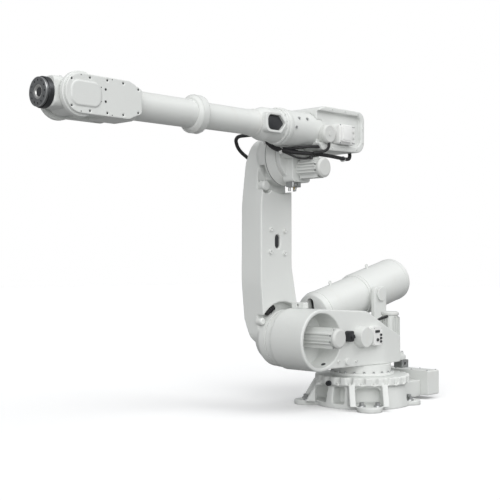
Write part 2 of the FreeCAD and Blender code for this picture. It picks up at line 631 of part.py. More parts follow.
# ================================================================ lower arm
def make_arm_body():
    face = SEAM_Y - TURN_GAP
    side = [(560, AXIS_3_Z + 150, 120), (752, AXIS_3_Z + 120, 110), (ARM_FRONT - 3, 1450, 900),
            (ARM_FRONT, 900, 900), (775, 520, 110), (650, 345, 110), (440, 380, 110), (425, 690, 250),
            (ARM_REAR, 1010, 400), (ARM_REAR, AXIS_3_Z - 80, 200)]
    front = [(face, AXIS_3_Z + 190, 0), (ARM_OUTER_Y + 65, AXIS_3_Z + 170, 60), (ARM_OUTER_Y, AXIS_3_Z - 40, 200),
             (ARM_OUTER_Y, 640, 150), (ARM_OUTER_Y + 50, 485, 60), (face, 390, 0)]
    beam = slab("XZ", side, ARM_OUTER_Y - 1, face).common(slab("YZ", front, 300, 900))
    hubs = []
    for z in (AXIS_2_Z, AXIS_3_Z):
        hubs.append(rod((AXIS_2_X, face, z), (AXIS_2_X, face - 50, z), ARM_HUB_RADIUS))
        hubs.append(cone((AXIS_2_X, face - 50, z), (AXIS_2_X, face - 130, z), ARM_HUB_RADIUS, 150))
    solid = fuse([beam] + hubs)
    cuts = []
    for z in (AXIS_2_Z, AXIS_3_Z):
        ring = rod((AXIS_2_X, face + 1, z), (AXIS_2_X, face - HUB_POCKET_DEPTH, z), HUB_POCKET_RADIUS)
        core = rod((AXIS_2_X, face + 2, z), (AXIS_2_X, face - HUB_POCKET_DEPTH - 1, z), ARM_HUB_RADIUS)
        cuts.append(ring.cut(core))
    return solid.cut(cuts).removeSplitter()


def make_lower_arm():
    face = SEAM_Y - TURN_GAP
    arm = make_arm_body()
    slot = rounded_box("XZ", 705, 800, AXIS_3_Z - 260, AXIS_3_Z - 60, 44, face - 55, face + 1)
    half_w, half_h = PORT_WIDTH / 2, PORT_HEIGHT / 2
    port = rounded_box("XZ", PORT_X - half_w, PORT_X + half_w, PORT_Z - half_h, PORT_Z + half_h, half_w - 1,
                       face - PORT_DEPTH, face + 1)
    return arm.cut([slot, port]).removeSplitter()


def arm_bolts():
    """Four cap bolts round the arm's cable port."""
    face = SEAM_Y - TURN_GAP
    bolts = []
    for dx, dz in ((-72, 76), (72, 84), (-72, -84), (76, -74)):
        x, z = PORT_X + dx, PORT_Z + dz
        head = rod((x, face, z), (x, face + 12, z), 15)
        socket = rod((x, face + 5, z), (x, face + 13, z), 7)
        bolts.append(head.cut(socket))
    return bolts


def make_stop_buffer():
    """Ribbed rubber buffer in the pocket above axis 2."""
    angle = math.radians(62)
    direction = V(math.cos(angle), 0, math.sin(angle))
    floor = SEAM_Y - TURN_GAP - HUB_POCKET_DEPTH
    centre = V(AXIS_2_X, floor, AXIS_2_Z) + direction * (ARM_HUB_RADIUS + 29)
    along = direction.cross(Y_AXIS)
    shapes = [Part.makeCylinder(17, 88, centre + Y_AXIS * 30 - along * 44, along)]
    for step in range(5):
        at = centre + Y_AXIS * 30 - along * (40 - 18 * step)
        shapes.append(Part.makeCylinder(24, 9, at, along))
    saddle = Part.makeCylinder(12, 30, centre, Y_AXIS)
    return fuse(shapes + [saddle])


def make_arm_fasteners():
    """The cable port's bolts, and round caps over the arm's two adjusting screws."""
    face = SEAM_Y - TURN_GAP
    floor = face - HUB_POCKET_DEPTH
    angle = math.radians(33)
    reach = ARM_HUB_RADIUS + 29
    x, z = AXIS_2_X + reach * math.cos(angle), AXIS_2_Z + reach * math.sin(angle)
    low = fuse([rod((x, floor, z), (x, floor + 44, z), 26), cone((x, floor + 44, z), (x, floor + 52, z), 26, 19)])
    x, z = 752.0, AXIS_3_Z - 205
    high = fuse([rod((x, face - 55, z), (x, face - 14, z), 36), cone((x, face - 14, z), (x, face - 4, z), 36, 28)])
    return Part.makeCompound([low, high] + arm_bolts())


def make_axis_3_gland():
    """Hose gland on the arm's outer face, on axis 3, so that the hose turns with the upper arm."""
    gland = rod((AXIS_2_X, ARM_OUTER_Y + 120, AXIS_3_Z), (AXIS_2_X, ARM_OUTER_Y - GLAND_LENGTH, AXIS_3_Z),
                GLAND_RADIUS)
    return gland.cut(make_arm_body())


# ================================================================ upper arm
def make_elbow_gear():
    ring = rod((AXIS_2_X, SEAM_Y + TURN_GAP, AXIS_3_Z), (AXIS_2_X, SEAM_Y + 28, AXIS_3_Z), GEAR_RADIUS)
    bell = cone((AXIS_2_X, SEAM_Y + 28, AXIS_3_Z), (AXIS_2_X, SEAM_Y + 80, AXIS_3_Z), GEAR_RADIUS - 4, 172)
    return ring.fuse(bell).removeSplitter()


def make_elbow_housing():
    start_y = SEAM_Y + 80
    gear_side = rod((AXIS_2_X, start_y, AXIS_3_Z), (AXIS_2_X, start_y + 40, AXIS_3_Z), 168)
    web_points = [(440, AXIS_3_Z - 20, 40), (742, AXIS_3_Z - 20, 40), (790, TUBE_Z + 20, 0), (440, TUBE_Z + 20, 0)]
    web = slab("XZ", web_points, start_y, REAR_HOUSE_Y[0] + 130)
    barrel = rod((REAR_HOUSE[1] - 60, 0, TUBE_Z), (HOUSE_FRONT_X - 30, 0, TUBE_Z), HOUSE_RADIUS)
    ring = rod((HOUSE_FRONT_X - 34, 0, TUBE_Z), (HOUSE_FRONT_X, 0, TUBE_Z), HOUSE_RADIUS + 7)
    motor_z = AXIS_3_Z - AXIS_3_MOTOR_DROP
    motor_seat = rounded_box("XZ", AXIS_2_X - 92, AXIS_2_X + 92, motor_z - 92, motor_z + 120, 26,
                             start_y, start_y + 95)
    return fuse([gear_side, web, barrel, ring, motor_seat])


def make_rear_housing():
    x0, x1, z0, z1 = REAR_HOUSE
    y0, y1 = REAR_HOUSE_Y
    points = [(x0, z0 + 12, 85), (x1 - 40, z0, 30), (x1, z0 + 45, 30), (x1, z1 - 20, 30), (x1 - 60, z1, 30),
              (x0, z1, 62)]
    body = slab("XZ", points, y0, y1)
    recess_points = [(x0 + 38, z0 + 52, 60), (x1 + 5, z0 + 52, 0), (x1 + 5, z1 - 34, 0), (x0 + 38, z1 - 34, 45)]
    recess = slab("XZ", recess_points, y1 - 28, y1 + 5)
    return body.cut(recess).cut(make_elbow_housing()).removeSplitter()


def make_axis_3_motor():
    z = AXIS_3_Z - AXIS_3_MOTOR_DROP
    start = SEAM_Y + 175
    motor = ribbed_motor((AXIS_2_X, start, z), (AXIS_2_X, AXIS_3_MOTOR_END_Y, z), Z_AXIS)
    return motor.cut(make_elbow_housing())


def make_axis_3_motor_cap():
    z = AXIS_3_Z - AXIS_3_MOTOR_DROP
    return motor_cap((AXIS_2_X, AXIS_3_MOTOR_END_Y, z), (AXIS_2_X, AXIS_3_MOTOR_END_Y + 50, z))


def make_axis_4_motor():
    face = REAR_HOUSE_Y[1] - 28
    x, z = AXIS_2_X - 24, TUBE_Z - 32
    body = rod((x, face, z), (x, face + 52, z), 64)
    cap = cone((x, face + 52, z), (x, face + 62, z), 64, 56)
    return fuse([body, cap]).cut([make_elbow_housing(), make_rear_housing()])


def make_wrist_motors():
    """The two wrist motors' shared light plastic end box."""
    face = REAR_HOUSE_Y[1] - 28
    z = TUBE_Z - 22
    x = AXIS_2_X - 290
    body = rounded_box("XZ", x, x + 170, z - 68, z + 68, 14, face, face + 66)
    front = rounded_box("XZ", x + 45, x + 162, z - 56, z + 60, 20, face + 66, face + 82)
    return body.fuse(front).removeSplitter()


def make_junction_cover():
    """Round cable junction that stands out of the elbow's web, under the rear housing."""
    x, z = AXIS_2_X - 24, AXIS_3_Z + 18
    start, end = REAR_HOUSE_Y[0] + 130, 50
    body = rod((x, start, z), (x, end - 18, z), JUNCTION_RADIUS)
    dome = cone((x, end - 18, z), (x, end, z), JUNCTION_RADIUS, JUNCTION_RADIUS - 14)
    return fuse([body, dome]).cut([make_elbow_housing(), make_rear_housing()])


def make_elbow_fittings():
    """Air and grease fittings under the axis 3 gear housing."""
    z = AXIS_3_Z - AXIS_3_MOTOR_DROP - 92
    y = SEAM_Y + 130
    x = AXIS_2_X - 10
    manifold = rounded_box("XY", x, x + 88, y - 34, y + 34, 8, z - 34, z)
    fittings = [manifold]
    for dx, dy in ((18, -16), (46, 16), (70, -14)):
        fittings.append(rod((x + dx, y + dy, z - 34), (x + dx, y + dy, z - 62), 9))
    fittings.append(rod((x + 44, y + 30, z - 16), (x + 44, y + 58, z - 16), 12))
    fittings.append(rod((x + 72, y + 30, z - 20), (x + 72, y + 52, z - 20), 9))
    return fuse(fittings).cut(make_elbow_housing())


# The hose leaves the gland on axis 3, loops forward round the arm's front edge,
# runs between the axis 3 motor and the rear housing, and turns up into that housing.
MAIN_HOSE = [(AXIS_2_X, ARM_OUTER_Y - GLAND_LENGTH - TURN_GAP, AXIS_3_Z),
             (AXIS_2_X, ARM_OUTER_Y - 118, AXIS_3_Z),
             (AXIS_2_X + 118, ARM_OUTER_Y - 135, AXIS_3_Z + 72),
             (AXIS_2_X + 232, ARM_OUTER_Y - 58, AXIS_3_Z + 150),
             (AXIS_2_X + 248, ARM_OUTER_Y + 205, AXIS_3_Z + 146),
             (AXIS_2_X + 226, SEAM_Y + 112, AXIS_3_Z + 34),
             (AXIS_2_X + 186, -14, AXIS_3_Z + 8),
             (AXIS_2_X + 60, 68, AXIS_3_Z + 1),
             (AXIS_2_X - 70, 92, AXIS_3_Z - 3),
             (AXIS_2_X - 190, 90, AXIS_3_Z - 8),
             (AXIS_2_X - 300, 84, AXIS_3_Z - 14),
             (AXIS_2_X - 362, 68, AXIS_3_Z - 2),
             (AXIS_2_X - 368, 56, AXIS_3_Z + 62)]


def make_elbow_hose():
    return hose(MAIN_HOSE).cut(make_rear_housing())


def make_hose_clamps():
    """Clamps that hold the hose, the first on the gear's rim and the second on the elbow's web."""
    carriers = (V(AXIS_2_X + 150, SEAM_Y + 45, AXIS_3_Z + 70), V(AXIS_2_X + 140, SEAM_Y + 172, AXIS_3_Z + 26))
    clamps = []
    for run, carrier in zip(CLAMPED_RUNS, carriers):
        first, last = V(*MAIN_HOSE[run]), V(*MAIN_HOSE[run + 1])
        along = (last - first).normalize()
        centre = (first + last) / 2
        ring = Part.makeCylinder(HOSE_RADIUS + CLAMP_WALL, CLAMP_LENGTH, centre - along * CLAMP_LENGTH / 2, along)
        stem = Part.makeCylinder(8, (carrier - centre).Length, centre, carrier - centre)
        hole = Part.makeCylinder(HOSE_RADIUS + PIN_GAP, CLAMP_LENGTH * 3, centre - along * CLAMP_LENGTH * 1.5, along)
        clamps.append(ring.fuse(stem).cut([hole, make_elbow_gear(), make_elbow_housing()]))
    return Part.makeCompound(clamps)


# ================================================================ tube
def make_tube_neck():
    start = HOUSE_FRONT_X + TURN_GAP
    ring = rod((start, 0, TUBE_Z), (start + 24, 0, TUBE_Z), HOUSE_RADIUS + 5)
    body = rod((start, 0, TUBE_Z), (NECK_END_X - 40, 0, TUBE_Z), NECK_RADIUS)
    taper = cone((NECK_END_X - 40, 0, TUBE_Z), (NECK_END_X + 30, 0, TUBE_Z), NECK_RADIUS, REAR_TUBE_RADIUS + 6)
    middle = (start + NECK_END_X) / 2 + 28
    points = window_outline(middle, WINDOW_WIDTH / 2 + 16, WINDOW_HEIGHT / 2 + 16)
    rim = slab("XZ", points, 30, NECK_RADIUS + 9)
    neck = fuse([ring, body, taper, rim])
    recess = slab("XZ", window_outline(middle, WINDOW_WIDTH / 2, WINDOW_HEIGHT / 2), WINDOW_FLOOR_Y, NECK_RADIUS + 30)
    return neck.cut(recess).removeSplitter()


def window_outline(x, half_width, half_height):
    """A panel round the tube axis height, rounded in front and pointed towards the elbow."""
    shoulder = x - half_width * 0.42
    return [(x + half_width, TUBE_Z - half_height, 32), (x + half_width, TUBE_Z + half_height, 32),
            (shoulder, TUBE_Z + half_height, 14), (x - half_width, TUBE_Z, 12),
            (shoulder, TUBE_Z - half_height, 14)]


def make_rear_tube():
    taper = cone((NECK_END_X + 30, 0, TUBE_Z), (NECK_END_X + 120, 0, TUBE_Z), REAR_TUBE_RADIUS + 6,
                 REAR_TUBE_RADIUS)
    body = rod((NECK_END_X + 120, 0, TUBE_Z), (COLLAR_X - COLLAR_LENGTH / 2, 0, TUBE_Z), REAR_TUBE_RADIUS)
    return taper.fuse(body).removeSplitter()


def make_collar():
    half = COLLAR_LENGTH / 2
    start, end = COLLAR_X - half, COLLAR_X + half
    rear = rod((start, 0, TUBE_Z), (start + 22, 0, TUBE_Z), COLLAR_RADIUS - 16)
    main = rod((start + 22, 0, TUBE_Z), (end - 24, 0, TUBE_Z), COLLAR_RADIUS)
    front = cone((end - 24, 0, TUBE_Z), (end, 0, TUBE_Z), COLLAR_RADIUS, FRONT_TUBE_RADIUS + 10)
    return fuse([rear, main, front])


def make_front_tube():
    return rod((COLLAR_X + COLLAR_LENGTH / 2, 0, TUBE_Z), (WRIST_REAR_X, 0, TUBE_Z), FRONT_TUBE_RADIUS)


# ================================================================ wrist
def make_wrist_housing():
    width, height = WRIST_HALF_WIDTH, WRIST_HALF_HEIGHT
    root = AXIS_5_X - FORK_DEPTH
    section = [(-width, TUBE_Z - height, 42), (width, TUBE_Z - height, 42), (width, TUBE_Z + height, 42),
               (-width, TUBE_Z + height, 42)]
    rear = slab("YZ", section, WRIST_REAR_X + 40, root)
    neck = cone((WRIST_REAR_X, 0, TUBE_Z), (WRIST_REAR_X + 40, 0, TUBE_Z), FRONT_TUBE_RADIUS + 5,
                FRONT_TUBE_RADIUS + 16)
    shapes = [rear, neck]
    for side in (1, -1):
        near, far = side * FORK_HALF_GAP, side * width
        low, high = min(near, far), max(near, far)
        arm = block(root - 40, AXIS_5_X, low, high, TUBE_Z - height, TUBE_Z + height)
        end = rod((AXIS_5_X, low, TUBE_Z), (AXIS_5_X, high, TUBE_Z), CHEEK_RADIUS)
        shapes += [arm, end]
    return fuse(shapes)


def cover_outline():
    left, right = WRIST_REAR_X + 14, AXIS_5_X + 112
    half = WRIST_HALF_HEIGHT
    return [(left, TUBE_Z - 68, 18), (left + 92, TUBE_Z - half, 40), (right, TUBE_Z - half, half - 6),
            (right, TUBE_Z + half, half - 6), (left + 92, TUBE_Z + half, 40), (left, TUBE_Z + 68, 18)]


COVER_HOLES = ((72, 72), (-48, 92), (-166, 92), (-277, 88), (-385, 66))


def wrist_cover(side):
    near, far = side * WRIST_HALF_WIDTH, side * (WRIST_HALF_WIDTH + COVER_THICK)
    plate = slab("XZ", cover_outline(), min(near, far), max(near, far))
    holes = []
    for dx, dz in COVER_HOLES:
        for up in (1, -1):
            x, z = AXIS_5_X + dx, TUBE_Z + up * min(dz, WRIST_HALF_HEIGHT - 18)
            holes.append(rod((x, side * (WRIST_HALF_WIDTH + COVER_THICK - 7), z),
                             (x, side * (WRIST_HALF_WIDTH + COVER_THICK + 5), z), 8))
    return plate.cut(holes)


def make_wrist_covers():
    """Both side covers. The left one has a raised oval panel over axis 5."""
    face = WRIST_HALF_WIDTH + COVER_THICK
    panel = rounded_box("XZ", AXIS_5_X - 118, AXIS_5_X + 78, TUBE_Z - 66, TUBE_Z + 66, 48, face - 2, face + 7)
    left = wrist_cover(1).fuse(panel).removeSplitter()
    return Part.makeCompound([left, wrist_cover(-1)])


def make_tilt_housing():
    half = FORK_HALF_GAP - 5.5
    hub = rod((AXIS_5_X, -half, TUBE_Z), (AXIS_5_X, half, TUBE_Z), TILT_RADIUS)
    reach = FLANGE_X - FLANGE_THICK - 34
    head = rounded_box("YZ", -half, half, TUBE_Z - 78, TUBE_Z + 90, 34, AXIS_5_X + 20, reach)
    shapes = [hub, head]
    for side in (1, -1):
        start = side * half
        end = side * (FORK_HALF_GAP - TURN_GAP)
        shapes.append(rod((AXIS_5_X, start, TUBE_Z), (AXIS_5_X, end, TUBE_Z), 70))
    return fuse(shapes)


def make_flange_ring():
    reach = FLANGE_X - FLANGE_THICK - 34
    return rod((reach, 0, TUBE_Z), (FLANGE_X - FLANGE_THICK - TURN_GAP, 0, TUBE_Z), FLANGE_RADIUS + 6)


def make_tool_flange():
    back = FLANGE_X - FLANGE_THICK
    disc = rod((back, 0, TUBE_Z), (FLANGE_X, 0, TUBE_Z), FLANGE_RADIUS)
    bore = rod((FLANGE_X - FLANGE_BORE_DEPTH, 0, TUBE_Z), (FLANGE_X + 5, 0, TUBE_Z), FLANGE_BORE_RADIUS)
    cuts = [bore]
    for i in range(FLANGE_HOLES):
        angle = 2 * math.pi * i / FLANGE_HOLES
        y, z = FLANGE_PITCH_RADIUS * math.cos(angle), TUBE_Z + FLANGE_PITCH_RADIUS * math.sin(angle)
        cuts.append(rod((back + 2, y, z), (FLANGE_X + 5, y, z), FLANGE_HOLE / 2))
    return disc.cut(cuts)


# ================================================================ the nodes
NODES = {
    "base_casting": make_base_casting,
    "connection_box": make_connection_box,
    "connection_sockets": make_connection_sockets,
    "base_plug": make_base_plug,
    "turntable": make_turntable,
    "frame_casting": make_frame_casting,
    "axis_2_gear": make_axis_2_gear,
    "axis_2_motor": make_axis_2_motor,
    "axis_1_motor": make_axis_1_motor,
    "frame_motor_caps": make_frame_motor_caps,
    "side_boss": make_side_boss,
    "brake_release_box": make_brake_release_box,
    "side_connector": make_side_connector,
    "stop_block": make_stop_block,
    "top_stop": make_top_stop,
    "cylinder_bracket": make_cylinder_bracket,
    "balance_cylinder": make_balance_cylinder,
    "trunnion_pins": make_trunnion_pins,
    "lifting_eyes": make_lifting_eyes,
    "piston_rod": make_piston_rod,
    "lower_arm": make_lower_arm,
    "rod_pin": make_rod_pin,
    "arm_fasteners": make_arm_fasteners,
    "stop_buffer": make_stop_buffer,
    "axis_3_gland": make_axis_3_gland,
    "elbow_gear": make_elbow_gear,
    "elbow_housing": make_elbow_housing,
    "rear_housing": make_rear_housing,
    "axis_3_motor": make_axis_3_motor,
    "axis_3_motor_cap": make_axis_3_motor_cap,
    "axis_4_motor": make_axis_4_motor,
    "wrist_motors": make_wrist_motors,
    "junction_cover": make_junction_cover,
    "elbow_fittings": make_elbow_fittings,
    "elbow_hose": make_elbow_hose,
    "hose_clamps": make_hose_clamps,
    "tube_neck": make_tube_neck,
    "rear_tube": make_rear_tube,
    "tube_collar": make_collar,
    "front_tube": make_front_tube,
    "wrist_housing": make_wrist_housing,
    "wrist_covers": make_wrist_covers,
    "tilt_housing": make_tilt_housing,
    "flange_ring": make_flange_ring,
    "tool_flange": make_tool_flange,
}


def main():
    os.makedirs("parts", exist_ok=True)
    for name, make in NODES.items():
        shape = make()
        if not shape.isValid():
            raise ValueError(name + " is not a valid shape")
        shape.exportStep("parts/" + name + ".step")
        print(name, len(shape.Solids), "solids", round(shape.Volume / 1e6, 2), "litres")


main()
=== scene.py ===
import json
import math

import bmesh
import bpy
from mathutils import Matrix, Vector


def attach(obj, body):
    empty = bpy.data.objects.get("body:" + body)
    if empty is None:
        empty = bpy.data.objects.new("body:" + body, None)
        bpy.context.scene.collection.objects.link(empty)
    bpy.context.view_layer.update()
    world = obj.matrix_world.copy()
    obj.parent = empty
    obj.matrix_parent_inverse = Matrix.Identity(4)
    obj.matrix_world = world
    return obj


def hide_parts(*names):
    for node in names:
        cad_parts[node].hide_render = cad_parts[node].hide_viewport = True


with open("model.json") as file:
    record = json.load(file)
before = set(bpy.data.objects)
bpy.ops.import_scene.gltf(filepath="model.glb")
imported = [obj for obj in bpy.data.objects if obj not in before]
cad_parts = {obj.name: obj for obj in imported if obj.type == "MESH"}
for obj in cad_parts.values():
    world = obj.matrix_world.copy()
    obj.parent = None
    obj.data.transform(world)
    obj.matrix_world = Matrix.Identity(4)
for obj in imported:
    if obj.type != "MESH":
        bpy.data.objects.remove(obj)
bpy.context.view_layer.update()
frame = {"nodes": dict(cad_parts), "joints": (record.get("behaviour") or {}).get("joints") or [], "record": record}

X, Y, Z = Vector((1, 0, 0)), Vector((0, 1, 0)), Vector((0, 0, 1))
AXES = {joint["name"]: Vector(joint["pos_m"]) for joint in frame["joints"]}
BODIES = frame["record"]["behaviour"]["bodies"]
BODY_OF = {node: body for body, nodes in BODIES.items() for node in nodes}
TUBE_Z = AXES["axis_5"].z


# ================================================================ materials
class Socket:
    """An output of a shader node, on which arithmetic adds Math nodes."""

    def __init__(self, finish, output):
        self.finish = finish
        self.output = output

    def maths(self, operation, first, second):
        return self.finish.add("ShaderNodeMath", {"operation": operation}, {0: first, 1: second})

    def __add__(self, other):
        return self.maths("ADD", self, other)

    def __rsub__(self, other):
        return self.maths("SUBTRACT", other, self)

    def __mul__(self, other):
        return self.maths("MULTIPLY", self, other)

    def above(self, level, softness):
        """0 below the level and 1 above it, with a soft step."""
        settings = {"interpolation_type": "SMOOTHSTEP"}
        values = {"Value": self, "From Min": level - softness, "From Max": level + softness}
        return self.finish.add("ShaderNodeMapRange", settings, values)


COAT_ROUGHNESS = 0.25


class Finish:
    """One material, built from node expressions round a Principled shader."""

    def __init__(self, name, colour, roughness, metallic=0.0, coat=0.0):
        self.material = bpy.data.materials.new(name)
        self.material.use_nodes = True
        self.tree = self.material.node_tree
        self.shader = self.tree.nodes["Principled BSDF"]
        self.shader.inputs["Base Color"].default_value = (*colour, 1)
        self.shader.inputs["Roughness"].default_value = roughness
        self.shader.inputs["Metallic"].default_value = metallic
        self.shader.inputs["Coat Weight"].default_value = coat
        self.shader.inputs["Coat Roughness"].default_value = COAT_ROUGHNESS
        self.place = self.add("ShaderNodeTexCoord", {}, {}, "Object")

    def add(self, kind, settings, sockets, output=0):
        node = self.tree.nodes.new(kind)
        for name, value in settings.items():
            setattr(node, name, value)
        for name, value in sockets.items():
            if isinstance(value, Socket):
                self.tree.links.new(value.output, node.inputs[name])
            else:
                node.inputs[name].default_value = value
        return Socket(self, node.outputs[output])

    def noise(self, scale, detail, roughness, stretch=(1, 1, 1)):
        place = self.add("ShaderNodeMapping", {}, {"Vector": self.place, "Scale": stretch})
        values = {"Vector": place, "Scale": scale, "Detail": detail, "Roughness": roughness}
        return self.add("ShaderNodeTexNoise", {}, values)

    def mix(self, factor, first, second):
        sockets = {0: factor, 6: first, 7: second}
        return self.add("ShaderNodeMix", {"data_type": "RGBA"}, sockets, 2)

    def bump(self, height, distance, strength, normal=None):
        sockets = {"Height": height, "Distance": distance, "Strength": strength}
        if normal:
            sockets["Normal"] = normal
        return self.add("ShaderNodeBump", {}, sockets)

    def feed(self, name, value):
        self.tree.links.new(value.output, self.shader.inputs[name])


def shade(colour, factor):
    """The colour made lighter or darker, as red, green, blue and alpha."""
    return tuple(min(1.0, c * factor) for c in colour) + (1.0,)


PAINT_ROUGHNESS = 0.42
PEEL_DEPTH = 0.00022
DUST = (0.93, 0.91, 0.86)


def paint(name, colour):
    """Sprayed paint over metal: slow drift in tone, faint dusty smears, and orange peel."""
    finish = Finish(name, colour, PAINT_ROUGHNESS, coat=0.12)
    drift = finish.noise(2.3, 4.0, 0.55)
    smear = finish.noise(11.0, 5.0, 0.62, (1, 1, 0.35))
    tone = finish.mix(drift, shade(colour, 0.955), shade(colour, 1.035))
    dust = smear.above(0.62, 0.10) * 0.35
    finish.feed("Base Color", finish.mix(dust, tone, shade(DUST, colour[0])))
    peel = finish.noise(420.0, 2.0, 0.5)
    swell = finish.noise(70.0, 3.0, 0.5)
    finish.feed("Roughness", drift * 0.10 + smear * 0.08 + (PAINT_ROUGHNESS - 0.09))
    fine = finish.bump(peel, PEEL_DEPTH * 0.5, 0.5)
    finish.feed("Normal", finish.bump(swell, PEEL_DEPTH, 0.5, fine))
    return finish.material


def cast_paint(name, colour):
    """The same paint over a sand casting, with its pebbled skin, painted shade in its creases and a painted
    highlight on patches of its convex edges.
    """
    finish = Finish(name, colour, 0.5, coat=0.08)
    drift = finish.noise(1.9, 4.0, 0.6)
    blotch = finish.noise(9.0, 6.0, 0.6)
    edge = finish.add("ShaderNodeNewGeometry", {}, {}, "Pointiness")
    tone = finish.mix(drift, shade(colour, 0.945), shade(colour, 1.03))
    # Painted shade: the paint darkens towards a shaded grey copy of itself in concave creases, found from the
    # mesh's pointiness.
    painted_crease_shade = (1 - edge.above(0.488, 0.012)) * 0.22
    tone = finish.mix(painted_crease_shade, tone, shade(colour, 0.62))
    # Painted highlight: patches of the convex edges are made lighter than the paint.
    painted_edge_highlight = edge.above(0.53, 0.02) * blotch.above(0.5, 0.1) * 0.5
    finish.feed("Base Color", finish.mix(painted_edge_highlight, tone, shade(colour, 1.10)))
    skin = finish.noise(160.0, 4.0, 0.6)
    sag = finish.noise(26.0, 3.0, 0.5)
    finish.feed("Roughness", blotch * 0.16 + 0.40)
    fine = finish.bump(skin, 0.0004, 0.42)
    finish.feed("Normal", finish.bump(sag, 0.0010, 0.35, fine))
    return finish.material


BLACK_BELOW = 0.2


def plastic(name, colour, roughness=0.5):
    """Moulded plastic with a spark-eroded grain and faint handling marks."""
    finish = Finish(name, colour, roughness)
    cloud = finish.noise(14.0, 4.0, 0.6)
    speck = finish.noise(900.0, 1.0, 0.5)
    lift = 1.05 if colour[0] > BLACK_BELOW else 1.9
    finish.feed("Base Color", finish.mix(cloud, shade(colour, 0.93), shade(colour, lift)))
    finish.feed("Roughness", cloud * 0.18 + (roughness - 0.09))
    finish.feed("Normal", finish.bump(speck, 0.00012, 0.6))
    return finish.material


def rubber(name, colour):
    """Hose and buffer rubber: near black, with a dull bloom and a fine knit."""
    finish = Finish(name, colour, 0.62)
    bloom = finish.noise(32.0, 5.0, 0.65)
    knit = finish.add("ShaderNodeTexVoronoi", {}, {"Vector": finish.place, "Scale": 520.0})
    finish.feed("Base Color", finish.mix(bloom, shade(colour, 0.7), shade(colour, 2.1)))
    finish.feed("Roughness", bloom * 0.25 + 0.5)
    finish.feed("Normal", finish.bump(knit, 0.0003, 0.5))
    return finish.material


def metal(name, colour, roughness, stain=0.3):
    """Machined steel: fine tool marks, uneven sheen and thin oil stains."""
    finish = Finish(name, colour, roughness, metallic=1.0)
    marks = finish.noise(240.0, 3.0, 0.6)
    oil = finish.noise(18.0, 5.0, 0.6)
    tone = finish.mix(marks, shade(colour, 0.82), shade(colour, 1.12))
    stained = oil.above(0.56, 0.12) * stain
    finish.feed("Base Color", finish.mix(stained, tone, shade(colour, 0.45)))
    finish.feed("Roughness", marks * 0.14 + oil * 0.16 + (roughness - 0.14))
    finish.feed("Normal", finish.bump(marks, 0.00008, 0.5))
    return finish.material


GREY_COLOUR = (0.735, 0.75, 0.73)
PAINT = paint("light_grey_paint", GREY_COLOUR)
CASTING = cast_paint("light_grey_cast_paint", GREY_COLOUR)
WHITE_PLASTIC = plastic("white_plastic", (0.84, 0.845, 0.83))
GREY_PLASTIC = plastic("motor_cap_grey", (0.66, 0.67, 0.65), 0.45)
BLACK_PLASTIC = plastic("black_plastic", (0.018, 0.019, 0.021), 0.4)
RUBBER = rubber("hose_rubber", (0.014, 0.014, 0.015))
BRIGHT_STEEL = metal("bright_steel", (0.60, 0.60, 0.59), 0.32)
BOLT_STEEL = metal("bolt_zinc", (0.52, 0.53, 0.53), 0.38)
DARK_STEEL = metal("dark_flange_steel", (0.085, 0.088, 0.092), 0.36, stain=0.15)
FLANGE_STEEL = metal("tool_flange_steel", (0.26, 0.265, 0.27), 0.42, stain=0.2)
BRASS = metal("grease_nipple_brass", (0.62, 0.47, 0.22), 0.35)


# ================================================================ making pieces
PLATE_SHARP, SMALL_SHARP, NEVER_SHARP = 35, 30, 180     # degrees between two faces
SAME_POINT = 0.00001


def piece(name, bm, body, material, sharp):
    """A finished mesh object that rides on a body."""
    bmesh.ops.remove_doubles(bm, verts=bm.verts, dist=SAME_POINT)
    bmesh.ops.recalc_face_normals(bm, faces=bm.faces)
    mesh = bpy.data.meshes.new(name)
    bm.to_mesh(mesh)
    bm.free()
    finished(name, mesh, body, material, sharp)


def finished(name, mesh, body, material, sharp):
    """An object with its material, shaded smooth up to the sharp angle, on its body."""
    mesh.materials.clear()
    mesh.materials.append(material)
    mesh.shade_smooth()
    mesh.set_sharp_from_angle(angle=math.radians(sharp))
    made = bpy.data.objects.new(name, mesh)
    bpy.context.scene.collection.objects.link(made)
    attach(made, body)
    return made


def turn_to(axis):
    """The rotation that takes Z to an axis."""
    return Z.rotation_difference(Vector(axis)).to_matrix().to_4x4()


def turned(bm, at, axis, profile, segments):
    """Spin a profile of (distance along the axis, radius) round the axis."""
    frame_of = Matrix.Translation(Vector(at)) @ turn_to(axis)
    verts = [bm.verts.new((radius, 0, along)) for along, radius in profile]
    edges = [bm.edges.new(pair) for pair in zip(verts, verts[1:])]
    made = bmesh.ops.spin(bm, geom=verts + edges, cent=(0, 0, 0), axis=(0, 0, 1),
                          angle=math.tau, steps=segments, use_merge=True)
    last = [item for item in made["geom_last"] if isinstance(item, bmesh.types.BMVert)]
    whole = set(last) | set(verts)
    grown = True
    while grown:
        fresh = {edge.other_vert(vert) for vert in whole for edge in vert.link_edges} - whole
        whole |= fresh
        grown = bool(fresh)
    bmesh.ops.transform(bm, matrix=frame_of, verts=list(whole))


HEX, ROUND = 6, 14              # sides of a hexagon head and of a cap screw
WASHER_WIDE, WASHER_TOP = 1.5, 1.45     # of the head's radius
WASHER_SHARE = 0.25             # of the whole height
HEAD_TAPER = 0.94
SOCKET_RIM, SOCKET_WALL, SOCKET_DEPTH = 0.42, 0.04, 0.4


